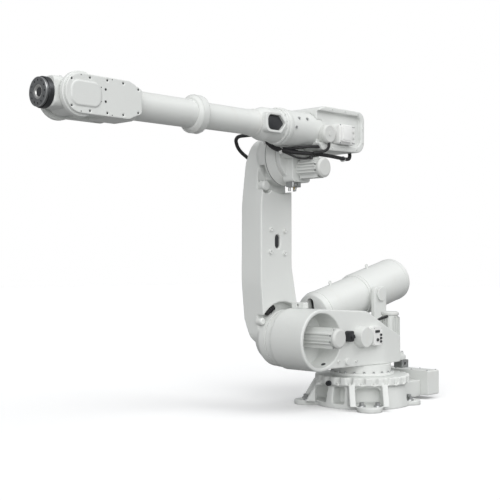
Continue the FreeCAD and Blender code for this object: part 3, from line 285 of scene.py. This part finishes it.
def bolt(bm, at, axis, radius, height, sides):
    """A bolt head on its washer, or a round cap screw when it has many sides."""
    frame_of = Matrix.Translation(Vector(at)) @ turn_to(axis)
    washer, head = height * WASHER_SHARE, height * (1 - WASHER_SHARE)
    bmesh.ops.create_cone(bm, cap_ends=True, segments=ROUND, radius1=radius * WASHER_WIDE,
                          radius2=radius * WASHER_TOP, depth=washer,
                          matrix=frame_of @ Matrix.Translation((0, 0, washer / 2)))
    made = bmesh.ops.create_cone(bm, cap_ends=True, segments=sides, radius1=radius,
                                 radius2=radius * HEAD_TAPER, depth=head,
                                 matrix=frame_of @ Matrix.Translation((0, 0, washer + head / 2)))
    along = Vector(axis).normalized()
    faces = {face for vert in made["verts"] for face in vert.link_faces}
    for face in faces:
        face.normal_update()
    top = max(faces, key=lambda face: face.calc_center_median().dot(along))
    bmesh.ops.inset_region(bm, faces=[top], thickness=radius * SOCKET_RIM)
    bmesh.ops.inset_region(bm, faces=[top], thickness=radius * SOCKET_WALL,
                           depth=-height * SOCKET_DEPTH)


def bolts(name, body, places, axis, radius, height, material=PAINT, sides=ROUND):
    """The same bolt or screw at several places."""
    bm = bmesh.new()
    for at in places:
        bolt(bm, at, axis, radius, height, sides)
    piece(name, bm, body, material, SMALL_SHARP)


def ring_places(centre, axis, radius, count, start=0.0):
    """Points evenly spaced round an axis."""
    turn = turn_to(axis).to_3x3()
    places = []
    for i in range(count):
        angle = start + math.tau * i / count
        spoke = Vector((radius * math.cos(angle), radius * math.sin(angle), 0))
        places.append(Vector(centre) + turn @ spoke)
    return places


CAD_SAME_POINT = 0.00002
CAST_PASSES = 5
FLAT_BELOW, BEVEL_FROM = 0.6, 32     # degrees between two faces


def cad_copy(node):
    """The node's mesh with its loose triangles joined."""
    bm = bmesh.new()
    bm.from_mesh(frame["nodes"][node].data)
    bmesh.ops.remove_doubles(bm, verts=bm.verts, dist=CAD_SAME_POINT)
    return bm


def modifier(made, kind, **settings):
    added = made.modifiers.new(kind.lower(), kind)
    for name, value in settings.items():
        setattr(added, name, value)


def cast(node, grain):
    """A casting: the construction's shape with every edge rounded by the mould."""
    bm = cad_copy(node)
    mesh = bpy.data.meshes.new(node + "_cast")
    bm.to_mesh(mesh)
    bm.free()
    made = finished(node + "_cast", mesh, BODY_OF[node], CASTING, NEVER_SHARP)
    modifier(made, "REMESH", mode="VOXEL", voxel_size=grain, use_smooth_shade=True)
    modifier(made, "SMOOTH", factor=0.5, iterations=CAST_PASSES)
    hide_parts(node)


def machined(node, width, material):
    """A turned or milled piece with small broken edges."""
    bm = cad_copy(node)
    bmesh.ops.dissolve_limit(bm, angle_limit=math.radians(FLAT_BELOW), verts=bm.verts,
                             edges=bm.edges)
    mesh = bpy.data.meshes.new(node + "_finished")
    bm.to_mesh(mesh)
    bm.free()
    made = finished(node + "_finished", mesh, BODY_OF[node], material, NEVER_SHARP)
    modifier(made, "BEVEL", width=width, segments=2, limit_method="ANGLE",
             angle_limit=math.radians(BEVEL_FROM), use_clamp_overlap=False, harden_normals=False)
    modifier(made, "WEIGHTED_NORMAL", keep_sharp=False, weight=80)
    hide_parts(node)


def finish_node(node, material):
    """Keep the construction's own mesh and give it its finish."""
    mesh = frame["nodes"][node].data
    mesh.materials.clear()
    mesh.materials.append(material)


def tube(name, body, points, radius):
    """A rubber hose or lead along a smooth curve, fixed to one body."""
    curve = bpy.data.curves.new(name, "CURVE")
    curve.dimensions = "3D"
    curve.bevel_depth = radius
    curve.bevel_resolution = 5
    curve.use_fill_caps = True
    spline = curve.splines.new("NURBS")
    spline.points.add(len(points) - 1)
    for point, at in zip(spline.points, points):
        point.co = (*at, 1)
    spline.order_u = 3
    spline.use_endpoint_u = True
    spline.resolution_u = 10
    made = bpy.data.objects.new(name, curve)
    bpy.context.scene.collection.objects.link(made)
    curve.materials.append(RUBBER)
    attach(made, body)


# ================================================================ castings and machined pieces
# Each casting's voxel size, which sets how round its edges get.
CASTINGS = {"base_casting": 0.0058, "frame_casting": 0.0055, "lower_arm": 0.0055,
            "elbow_housing": 0.0042, "rear_housing": 0.0045, "wrist_housing": 0.0040,
            "tube_neck": 0.0034, "cylinder_bracket": 0.0048, "wrist_covers": 0.0032,
            "tilt_housing": 0.0034}
for node, grain in CASTINGS.items():
    cast(node, grain)

# Each machined piece's bevel width and its finish.
MACHINED = {"turntable": (0.003, PAINT), "axis_2_gear": (0.0015, PAINT),
            "elbow_gear": (0.002, PAINT), "connection_box": (0.004, PAINT),
            "side_boss": (0.004, PAINT), "stop_block": (0.003, BOLT_STEEL),
            "top_stop": (0.003, PAINT), "frame_motor_caps": (0.004, GREY_PLASTIC),
            "axis_3_motor_cap": (0.004, GREY_PLASTIC), "balance_cylinder": (0.005, PAINT),
            "trunnion_pins": (0.003, PAINT), "rod_pin": (0.002, BRIGHT_STEEL),
            "piston_rod": (0.0015, BRIGHT_STEEL), "arm_fasteners": (0.002, PAINT),
            "axis_3_gland": (0.002, BLACK_PLASTIC), "axis_4_motor": (0.004, GREY_PLASTIC),
            "wrist_motors": (0.004, WHITE_PLASTIC), "junction_cover": (0.006, PAINT),
            "elbow_fittings": (0.0015, BOLT_STEEL), "hose_clamps": (0.0015, WHITE_PLASTIC),
            "tube_collar": (0.006, PAINT), "flange_ring": (0.004, DARK_STEEL),
            "tool_flange": (0.0012, FLANGE_STEEL), "stop_buffer": (0.003, RUBBER),
            "side_connector": (0.003, BLACK_PLASTIC)}
for node, (width, material) in MACHINED.items():
    machined(node, width, material)

# The construction's own mesh is shown for these.
PLAIN = {"rear_tube": PAINT, "front_tube": PAINT, "elbow_hose": RUBBER, "lifting_eyes": PAINT,
         "connection_sockets": BLACK_PLASTIC, "base_plug": BLACK_PLASTIC,
         "brake_release_box": WHITE_PLASTIC, "axis_1_motor": PAINT, "axis_2_motor": PAINT,
         "axis_3_motor": PAINT}
for node, material in PLAIN.items():
    finish_node(node, material)


# ================================================================ small pieces
def plate(name, body, points, corner, low, high, material):
    """A flat plate across Y with rounded corners and a broken front edge."""
    bm = bmesh.new()
    face = bm.faces.new([bm.verts.new((x, 0, z)) for x, z in points])
    bmesh.ops.bevel(bm, geom=list(face.verts), offset=corner, segments=5, affect="VERTICES",
                    profile=0.5)
    bmesh.ops.translate(bm, verts=bm.verts, vec=(0, low, 0))
    grown = bmesh.ops.extrude_face_region(bm, geom=list(bm.faces))
    front = [item for item in grown["geom"] if isinstance(item, bmesh.types.BMVert)]
    bmesh.ops.translate(bm, verts=front, vec=(0, high - low, 0))
    rim = [item for item in grown["geom"] if isinstance(item, bmesh.types.BMEdge)]
    bmesh.ops.bevel(bm, geom=rim, offset=abs(high - low) * 0.2, segments=2, affect="EDGES",
                    profile=0.5)
    piece(name, bm, body, material, PLATE_SHARP)


def rings(name, body, places, axis, profile, material, segments=32):
    """The same turned piece at several places."""
    bm = bmesh.new()
    for at in places:
        turned(bm, at, axis, profile, segments)
    piece(name, bm, body, material, SMALL_SHARP)


def disc(radius, height, edge=0.001):
    """The profile of a round cap with a broken edge."""
    return [(0, 0), (0, radius), (height - edge, radius), (height, radius - edge), (height, 0)]


def offsets(centre, steps):
    """Places at (x, z) steps from a centre, all at its y."""
    return [centre + Vector((dx, 0, dz)) for dx, dz in steps]


def outline(centre, steps):
    """The (x, z) corners of a plate, as steps from its centre."""
    return [(centre.x + dx, centre.z + dz) for dx, dz in steps]


SHOULDER, ELBOW, WRIST = AXES["axis_2"], AXES["axis_3"], AXES["axis_5"]
FLANGE_FACE = 2.815

# ---- base
FEET = ((0.290, 0.290), (0.290, -0.290), (-0.215, 0.270), (-0.215, -0.270))
FOOT_TOP = 0.036
ANCHOR_SPREAD = 0.055
anchors = []
for x, y in FEET:
    across = Vector((-y, x, 0)).normalized() * ANCHOR_SPREAD
    anchors += [Vector((x, y, FOOT_TOP)) + across, Vector((x, y, FOOT_TOP)) - across]
bolts("anchor_nuts", "base", anchors, Z, 0.019, 0.030, BOLT_STEEL, HEX)

NOTCHES = 24
NOTCH_FLOOR, NOTCH_RADIUS = 0.167, 0.336
notch_middles = ring_places((0, 0, NOTCH_FLOOR), Z, NOTCH_RADIUS, NOTCHES, math.pi / NOTCHES)
bolts("ring_bolts", "base", notch_middles, Z, 0.0105, 0.020)

BOX_BACK, BOX_TOP = -0.655, 0.216
BOX_SCREW = (0.005, 0.006)
LID_X, LID_Y = (-0.637, -0.523), (-0.215, -0.072, 0.072, 0.215)
WALL_Y, WALL_Z = (-0.215, 0.215), (0.052, 0.124, 0.196)
lid_screws = [Vector((x, y, BOX_TOP)) for x in LID_X for y in LID_Y]
bolts("box_lid_screws", "base", lid_screws, Z, *BOX_SCREW, BOLT_STEEL)
wall_screws = [Vector((BOX_BACK, y, z)) for y in WALL_Y for z in WALL_Z]
bolts("box_back_screws", "base", wall_screws, -X, *BOX_SCREW, BOLT_STEEL)

# ---- frame
TURNTABLE_TOP, TURNTABLE_RING = 0.244, 0.222
bolts("turntable_bolts", "frame",
      ring_places((0, 0, TURNTABLE_TOP), Z, TURNTABLE_RING, 20, 0.1), Z, 0.007, 0.012,
      BOLT_STEEL, HEX)

# The left wall leans: its y falls with x.
LEFT_WALL = Vector((0.095, 1, 0)).normalized()
LEFT_WALL_Y, LEFT_WALL_SLOPE, HEAD_SUNK = 0.1652, 0.0953, 0.003
wall_bolts = [Vector((x, LEFT_WALL_Y - LEFT_WALL_SLOPE * x - HEAD_SUNK, z))
              for x, z in ((0.430, 0.345), (0.251, 0.339))]
bolts("wall_bolts", "frame", wall_bolts, LEFT_WALL, 0.010, 0.014)
WALL_PLUG = Vector((0.341, 0.1297, 0.340))
rings("wall_plug", "frame", [WALL_PLUG], LEFT_WALL, disc(0.024, 0.016, 0.005), PAINT)
BARREL_DRAIN = SHOULDER + Vector((-0.075, 0.31, -0.171))
rings("barrel_drain", "frame", [BARREL_DRAIN], Vector((0.4, 0, 0.917)), disc(0.016, 0.004),
      BLACK_PLASTIC)
SHOULDER_GEAR_FACE, SHOULDER_GEAR_RING = 0.0705, 0.209
bolts("shoulder_gear_screws", "frame",
      ring_places(SHOULDER + Y * SHOULDER_GEAR_FACE, Y, SHOULDER_GEAR_RING, 28), Y, 0.0036, 0.004)

PANEL = Vector((0.082, 0.199, 0.510))
BUTTON = disc(0.0092, 0.0095, 0.002)
SELECTOR = disc(0.0115, 0.0095, 0.002)
plate("brake_box_label_bar", "frame",
      outline(PANEL, ((-0.025, 0.025), (0.023, 0.025), (0.023, 0.043), (-0.025, 0.043))),
      0.004, PANEL.y, PANEL.y + 0.0065, BLACK_PLASTIC)
rings("brake_buttons", "frame",
      offsets(PANEL, ((-0.042, -0.040), (-0.042, -0.016), (-0.042, 0.008))), Y, BUTTON,
      BLACK_PLASTIC, 24)
rings("brake_selector", "frame", offsets(PANEL, ((-0.004, -0.026),)), Y, SELECTOR,
      BLACK_PLASTIC, 24)
panel_corners = [PANEL + Vector((dx, -0.001, dz)) for dx in (-0.054, 0.034)
                 for dz in (-0.057, 0.055)]
bolts("brake_box_screws", "frame", panel_corners, Y, 0.003, 0.003, BOLT_STEEL)
MOTOR_1_LEAD = [(-0.150, -0.040, 0.339), (-0.150, -0.034, 0.450), (-0.158, -0.020, 0.560),
                (-0.196, -0.006, 0.606), (-0.240, 0.008, 0.620), (-0.286, 0.020, 0.630)]
tube("axis_1_motor_lead", "frame", MOTOR_1_LEAD, 0.010)

MOTOR_HALF = 0.069
MOTOR_FLAT = MOTOR_HALF - 0.0105
MOTOR_SCREW_SPREAD = 0.021


def motor_screws(name, body, centre, axis, side):
    """Small cap screws in the four flats of a servo motor, near its cap."""
    other = Vector(axis).cross(side)
    bm = bmesh.new()
    for direction in (side, -side, other, -other):
        across = Vector(axis).cross(direction)
        for spread in (-MOTOR_SCREW_SPREAD, MOTOR_SCREW_SPREAD):
            at = Vector(centre) + direction * MOTOR_FLAT + across * spread
            bolt(bm, at, direction, 0.0045, 0.006, ROUND)
    piece(name, bm, body, BOLT_STEEL, SMALL_SHARP)


MOTOR_1_X, MOTOR_1_FOOT = -0.345, 0.358
MOTOR_2_LIFT, MOTOR_3_DROP = 0.022, 0.092
motor_screws("axis_2_motor_screws", "frame",
             Vector((SHOULDER.x, 0.231, SHOULDER.z + MOTOR_2_LIFT)), Y, X)
motor_screws("axis_3_motor_screws", "elbow",
             Vector((ELBOW.x, 0.098, ELBOW.z - MOTOR_3_DROP)), Y, X)
motor_screws("axis_1_motor_screws", "frame", Vector((MOTOR_1_X, 0, 0.622)), Z, X)
foot_corners = [Vector((MOTOR_1_X + dx, dy, MOTOR_1_FOOT)) for dx in (-0.066, 0.066)
                for dy in (-0.066, 0.066)]
bolts("axis_1_flange_screws", "frame", foot_corners, Z, 0.006, 0.008, BOLT_STEEL)

# ---- balancing cylinder
TILT = math.radians(13.9)
AHEAD = Vector((math.cos(TILT), 0, -math.sin(TILT)))
TRUNNION = AXES["cylinder_swing"]
# Each ring's distance ahead of the trunnion, and its profile.
CYLINDER_RINGS = {
    "cylinder_end_seam": (-0.440, [(0, 0.1745), (0.001, 0.1768), (0.009, 0.1768), (0.010, 0.1745)]),
    "cylinder_step_ring": (0.046, [(0, 0.159), (0, 0.1705), (0.014, 0.1705), (0.020, 0.1660),
                                   (0.020, 0.159)]),
    "cylinder_nose_ring": (0.520, [(0, 0.159), (0.002, 0.1625), (0.020, 0.1625), (0.022, 0.159)])}
for name, (ahead, profile) in CYLINDER_RINGS.items():
    rings(name, "cylinder", [TRUNNION + AHEAD * ahead], AHEAD, profile, PAINT, 96)
CYLINDER_END, END_BOSS_FOOT, END_BOLT_RING = 0.500, 0.498, 0.095
bolts("cylinder_end_bolts", "cylinder",
      ring_places(TRUNNION - AHEAD * CYLINDER_END, -AHEAD, END_BOLT_RING, 8), -AHEAD,
      0.009, 0.008, BOLT_STEEL, HEX)
rings("cylinder_end_boss", "cylinder", [TRUNNION - AHEAD * END_BOSS_FOOT], -AHEAD,
      disc(0.052, 0.016, 0.006), PAINT, 48)
CRADLE_TOP = 0.535
cradle_corners = [Vector((TRUNNION.x + dx, TRUNNION.y + dy, CRADLE_TOP)) for dx in (-0.05, 0.05)
                  for dy in (-0.16, 0.16)]
bolts("cradle_bolts", "frame", cradle_corners, Z, 0.010, 0.012, BOLT_STEEL, HEX)

# ---- lower arm
ARM_FACE = -0.2504
PORT = Vector((0.643, ARM_FACE, 1.185))
PORT_HALF_WIDE, PORT_HALF_TALL = 0.026, 0.047
PORT_FLOOR, PORT_MOUTH = 0.069, 0.010        # below the arm's face
PORT_WASHERS = ((-0.072, 0.076), (0.072, 0.084), (-0.072, -0.084), (0.076, -0.074))
plate("cable_port_liner", "arm",
      outline(PORT, ((-PORT_HALF_WIDE, -PORT_HALF_TALL), (PORT_HALF_WIDE, -PORT_HALF_TALL),
                     (PORT_HALF_WIDE, PORT_HALF_TALL), (-PORT_HALF_WIDE, PORT_HALF_TALL))),
      0.024, ARM_FACE - PORT_FLOOR, ARM_FACE - PORT_MOUTH, BLACK_PLASTIC)
rings("port_washers", "arm", offsets(PORT, PORT_WASHERS), Y,
      [(0, 0), (0, 0.021), (0.002, 0.0215), (0.003, 0.020), (0.003, 0)], PAINT, 28)

# ---- elbow
ELBOW_GEAR_FACE, ELBOW_GEAR_RING, ELBOW_GROOVE = 0.029, 0.193, 0.016
bolts("elbow_gear_screws", "elbow",
      ring_places(ELBOW + Y * ELBOW_GEAR_FACE, Y, ELBOW_GEAR_RING, 24), Y, 0.0042, 0.006)
rings("elbow_gear_groove", "elbow", [ELBOW + Y * ELBOW_GROOVE], Y,
      [(0, 0.2026), (0, 0.2036), (0.004, 0.2036), (0.004, 0.2026)], BLACK_PLASTIC, 96)
BARREL_BOLTS = [Vector((0.821, 0.1045, 2.002)), Vector((0.739, 0.1045, 2.004)),
                Vector((0.862, 0.1165, 1.938))]
bolts("barrel_bolts", "elbow", BARREL_BOLTS, Vector((0, 0.9, 0.42)), 0.008, 0.008, BOLT_STEEL)
HOUSING_RIM_Y = 0.130
HOUSING_RIM = ((0.160, 1.890), (0.160, 1.990), (0.215, 2.091), (0.360, 2.094), (0.500, 2.094),
               (0.230, 1.835), (0.370, 1.829), (0.500, 1.826))
bolts("housing_rim_screws", "elbow", [Vector((x, HOUSING_RIM_Y, z)) for x, z in HOUSING_RIM], Y,
      0.006, 0.005)
MOTOR_4_X, MOTOR_4_Z = ELBOW.x - 0.024, TUBE_Z - 0.032
rings("axis_4_motor_seam", "elbow", [Vector((MOTOR_4_X, 0.140, MOTOR_4_Z))], Y,
      [(0, 0.0635), (0, 0.0665), (0.005, 0.0665), (0.005, 0.0635)], GREY_PLASTIC, 64)
rings("axis_4_motor_plug", "elbow", [Vector((MOTOR_4_X, 0.1640, MOTOR_4_Z))], Y,
      disc(0.016, 0.003), GREY_PLASTIC)
BOX = Vector((0.300, 0.168, TUBE_Z - 0.022))
BOX_SCREWS = ((0.012, -0.056), (0.012, 0.056), (0.030, -0.056), (0.030, 0.056),
              (0.160, -0.062), (0.160, 0.062))
plate("motor_box_lid", "elbow",
      outline(BOX, ((0.056, -0.044), (0.150, -0.044), (0.150, 0.048), (0.056, 0.048))),
      0.014, BOX.y + 0.015, BOX.y + 0.020, WHITE_PLASTIC)
bolts("motor_box_screws", "elbow", offsets(BOX - Y * 0.0005, BOX_SCREWS), Y, 0.0036, 0.004,
      BOLT_STEEL)
bolts("motor_box_bar", "elbow", offsets(BOX + Y * 0.004, ((0.020, -0.02), (0.020, 0.02))), Y,
      0.006, 0.006, sides=HEX)

# Each hose's radius and the points its curve follows.
ELBOW_HOSES = {
    "hose_branch": (0.0105, [
        (0.806, -0.110, 1.822), (0.790, -0.045, 1.808), (0.752, 0.030, 1.816),
        (0.690, 0.085, 1.826), (0.622, 0.104, 1.828), (0.572, 0.116, 1.838),
        (0.566, 0.124, 1.862)]),
    "motor_hose": (0.0095, [
        (0.566, 0.150, 1.868), (0.566, 0.156, 1.836), (0.570, 0.140, 1.806),
        (0.600, 0.110, 1.790), (0.650, 0.082, 1.786)]),
    "motor_3_lead": (0.0075, [
        (0.800, -0.080, 1.800), (0.790, -0.030, 1.780), (0.745, 0.010, 1.752),
        (0.690, 0.040, 1.745), (0.655, 0.050, 1.752), (0.634, 0.050, 1.762)]),
    "hose_bundle": (0.014, [
        (0.846, -0.205, 1.905), (0.842, -0.165, 1.862), (0.834, -0.125, 1.826),
        (0.812, -0.080, 1.806), (0.775, -0.025, 1.795), (0.730, 0.012, 1.790)])}
for name, (radius, points) in ELBOW_HOSES.items():
    tube(name, "elbow", points, radius)
EYELET, CLIP, LEAD_SOCKET = (Vector((0.330, 0.084, 1.766)), Vector((0.8365, -0.285, 1.9265)),
                             Vector((0.634, 0.050, 1.768)))
rings("hose_eyelet", "elbow", [EYELET], Vector((0.35, 0.6, 0)),
      [(-0.006, 0.012), (-0.006, 0.020), (0.006, 0.020), (0.006, 0.012), (-0.006, 0.012)],
      BOLT_STEEL)
rings("hose_clip", "elbow", [CLIP], Y,
      [(0, 0.0132), (0, 0.0200), (0.012, 0.0200), (0.012, 0.0132), (0, 0.0132)], WHITE_PLASTIC)
rings("lead_socket", "elbow", [LEAD_SOCKET], -Z, disc(0.012, 0.022), BLACK_PLASTIC)
NIPPLES = [Vector((0.600, -0.120, 1.562)), Vector((0.640, -0.100, 1.562))]
rings("grease_nipples", "elbow", NIPPLES, -Z,
      [(0, 0), (0, 0.007), (0.010, 0.006), (0.014, 0.0035), (0.018, 0.005), (0.022, 0)],
      BRASS, 20)

# ---- tube
WINDOW = Vector((1.0532, 0.066, TUBE_Z))
WINDOW_FRONT = 0.104
HALF_WIDE, HALF_TALL, SHOULDER_SHARE = 0.080, 0.046, 0.42
plate("window_panel", "forearm",
      outline(WINDOW, ((HALF_WIDE, -HALF_TALL), (HALF_WIDE, HALF_TALL),
                       (-HALF_WIDE * SHOULDER_SHARE, HALF_TALL), (-HALF_WIDE, 0),
                       (-HALF_WIDE * SHOULDER_SHARE, -HALF_TALL))),
      0.011, WINDOW.y, WINDOW_FRONT, BLACK_PLASTIC)


def on_tube(x):
    """A point on the tube's axis."""
    return Vector((x, 0, TUBE_Z))


bolts("neck_ring_bolts", "forearm", ring_places(on_tube(0.9494), X, 0.1165, 16, 0.2), X,
      0.0042, 0.005)
bolts("collar_bolts", "forearm", ring_places(on_tube(1.652), -X, 0.1085, 12, 0.13), -X,
      0.0055, 0.007)
rings("collar_seams", "forearm", [on_tube(1.651), on_tube(1.699)], X,
      [(0, 0.1172), (0, 0.1186), (0.0022, 0.1186), (0.0022, 0.1172)], PAINT, 96)
rings("tube_ends", "forearm", [on_tube(1.156), on_tube(2.176)], X,
      [(0, 0.081), (0, 0.0885), (0.010, 0.0900), (0.013, 0.0885), (0.013, 0.081)], PAINT, 96)

# ---- wrist
SEAT_FLOOR, COVER_FACE = 0.1262, 0.1328
COVER_SCREWS = ((0.072, 0.072), (-0.048, 0.090), (-0.166, 0.090), (-0.277, 0.088),
                (-0.385, 0.066))
SMALL_SCREWS = ((0.013, 0.098), (-0.197, 0.098))
LONE_SCREWS = ((-0.122, 0.047), (-0.122, -0.031))
COVER_PLUGS = ((-0.152, 0.039), (-0.152, -0.028))
for side, name in ((1, "left"), (-1, "right")):
    floor, face = WRIST + Y * side * SEAT_FLOOR, WRIST + Y * side * COVER_FACE
    deep = offsets(floor, [(dx, up * dz) for dx, dz in COVER_SCREWS for up in (1, -1)])
    bolts(name + "_cover_screws", "forearm", deep, Y * side, 0.0052, 0.004, DARK_STEEL)
    small = offsets(face, [(dx, up * dz) for dx, dz in SMALL_SCREWS for up in (1, -1)])
    small += offsets(face, LONE_SCREWS)
    bolts(name + "_cover_dowels", "forearm", small, Y * side, 0.0022, 0.002, DARK_STEEL)
    bolts(name + "_cover_plugs", "forearm", offsets(face, COVER_PLUGS), Y * side,
          0.0048, 0.003, DARK_STEEL)
TILT_SCREWS = [WRIST + Vector((0.085, dy, 0.0896)) for dy in (-0.045, 0.045)]
bolts("tilt_screws", "wrist", TILT_SCREWS, Z, 0.005, 0.006, BOLT_STEEL)


def behind_flange(depth):
    """A point on axis 6, at a depth behind the tool flange's face."""
    return Vector((FLANGE_FACE, 0, TUBE_Z)) - X * depth


BORE_FLOOR, HOLE_FLOOR, TOOL_RING = 0.0102, 0.0165, 0.0625
rings("flange_bore_ring", "flange", [behind_flange(BORE_FLOOR)], X,
      [(0, 0.024), (0.001, 0.0245), (0.0055, 0.0300), (0.0085, 0.0360), (0.0085, 0.0392),
       (0, 0.0392)], BRIGHT_STEEL, 64)
# A black disc at the bore's floor: painted shade standing in for the dark inside of the bore.
rings("flange_bore_painted_shade", "flange", [behind_flange(BORE_FLOOR)], X, disc(0.0238, 0.0012),
      BLACK_PLASTIC, 48)
# Black plugs in the tool holes, reaching 4.5 mm below the face: painted shade for the dark inside of the holes.
rings("flange_hole_painted_shade", "flange", ring_places(behind_flange(HOLE_FLOOR), X, TOOL_RING, 12), X,
      disc(0.0050, 0.0120), BLACK_PLASTIC, 20)
rings("flange_rim", "flange", [behind_flange(0.006)], X,
      [(0, 0.0795), (0, 0.0803), (0.0058, 0.0803), (0.0062, 0.0785), (0.0056, 0.0760)],
      BOLT_STEEL, 96)
bolts("flange_dowel_screws", "flange", ring_places(behind_flange(0.0021), X, 0.048, 6, 0.3), X,
      0.0026, 0.002, BRIGHT_STEEL)


# ================================================================ studio
SKY_COLOUR, SKY_STRENGTH = (0.97, 0.985, 1.0, 1), 0.42
FLOOR_HALF = 30
FLOOR_GLOW = 0.16
FLOOR_BOUNCE = (0.30, 0.30, 0.30, 1)
WHITE = (1, 1, 1, 1)
# Each light's name, the direction it comes from, its strength and its softness in degrees.
STUDIO_LIGHTS = (("window", (-1.2, 2.2, 2.6), 0.9, 40), ("ceiling", (0.3, 0.2, 1.0), 0.75, 80),
                 ("front", (1.0, 0.9, 0.22), 2.1, 60))
CAMERA_PLACE = (5.860, 4.514, 1.040)
CAMERA_YAW = 44
CAMERA_LENS, SENSOR_WIDTH, CAMERA_SHIFT, FAR_END = 72, 36, 0.024, 100


def split_by_ray(tree, lighting, shown, output):
    """Use one shader for what the camera sees and another for the light that bounces."""
    seen = tree.nodes.new("ShaderNodeLightPath")
    blend = tree.nodes.new("ShaderNodeMixShader")
    tree.links.new(seen.outputs["Is Camera Ray"], blend.inputs["Fac"])
    tree.links.new(lighting, blend.inputs[1])
    tree.links.new(shown, blend.inputs[2])
    tree.links.new(blend.outputs["Shader"], tree.nodes[output].inputs["Surface"])


def floor_finish():
    """White to the camera, and a soft grey to the light that bounces off it."""
    finish = Finish("studio_floor_white", (0.92, 0.92, 0.92), 0.8)
    finish.shader.inputs["Emission Color"].default_value = WHITE
    finish.shader.inputs["Emission Strength"].default_value = FLOOR_GLOW
    dull = finish.tree.nodes.new("ShaderNodeBsdfDiffuse")
    dull.inputs["Color"].default_value = FLOOR_BOUNCE
    split_by_ray(finish.tree, dull.outputs["BSDF"], finish.shader.outputs["BSDF"],
                 "Material Output")
    return finish.material


def make_floor():
    bm = bmesh.new()
    bmesh.ops.create_grid(bm, x_segments=1, y_segments=1, size=FLOOR_HALF)
    mesh = bpy.data.meshes.new("studio_floor")
    bm.to_mesh(mesh)
    bm.free()
    floor = bpy.data.objects.new("studio_floor", mesh)
    bpy.context.scene.collection.objects.link(floor)
    mesh.materials.append(floor_finish())


def make_sky():
    """A white backdrop to the camera, and a dimmer sky that lights the robot."""
    world = bpy.data.worlds.new("studio")
    world.use_nodes = True
    sky = world.node_tree.nodes["Background"]
    sky.inputs["Color"].default_value = SKY_COLOUR
    sky.inputs["Strength"].default_value = SKY_STRENGTH
    backdrop = world.node_tree.nodes.new("ShaderNodeBackground")
    backdrop.inputs["Color"].default_value = WHITE
    split_by_ray(world.node_tree, sky.outputs["Background"], backdrop.outputs["Background"],
                 "World Output")
    bpy.context.scene.world = world


def make_lights():
    for name, comes_from, strength, softness in STUDIO_LIGHTS:
        light = bpy.data.lights.new(name, "SUN")
        light.energy = strength
        light.angle = math.radians(softness)
        lamp = bpy.data.objects.new(name, light)
        lamp.rotation_euler = Vector(comes_from).to_track_quat("Z", "Y").to_euler()
        bpy.context.scene.collection.objects.link(lamp)


def make_camera():
    camera = bpy.data.cameras.new("camera")
    camera.lens = CAMERA_LENS
    camera.sensor_width = SENSOR_WIDTH
    camera.shift_y = CAMERA_SHIFT
    camera.clip_end = FAR_END
    holder = bpy.data.objects.new("camera", camera)
    holder.location = CAMERA_PLACE
    yaw = math.radians(CAMERA_YAW)
    back = Vector((math.cos(yaw), math.sin(yaw), 0))
    holder.rotation_euler = back.to_track_quat("Z", "Y").to_euler()
    bpy.context.scene.collection.objects.link(holder)
    bpy.context.scene.camera = holder


make_floor()
make_sky()
make_lights()
make_camera()
bpy.context.scene.view_settings.view_transform = "Standard"
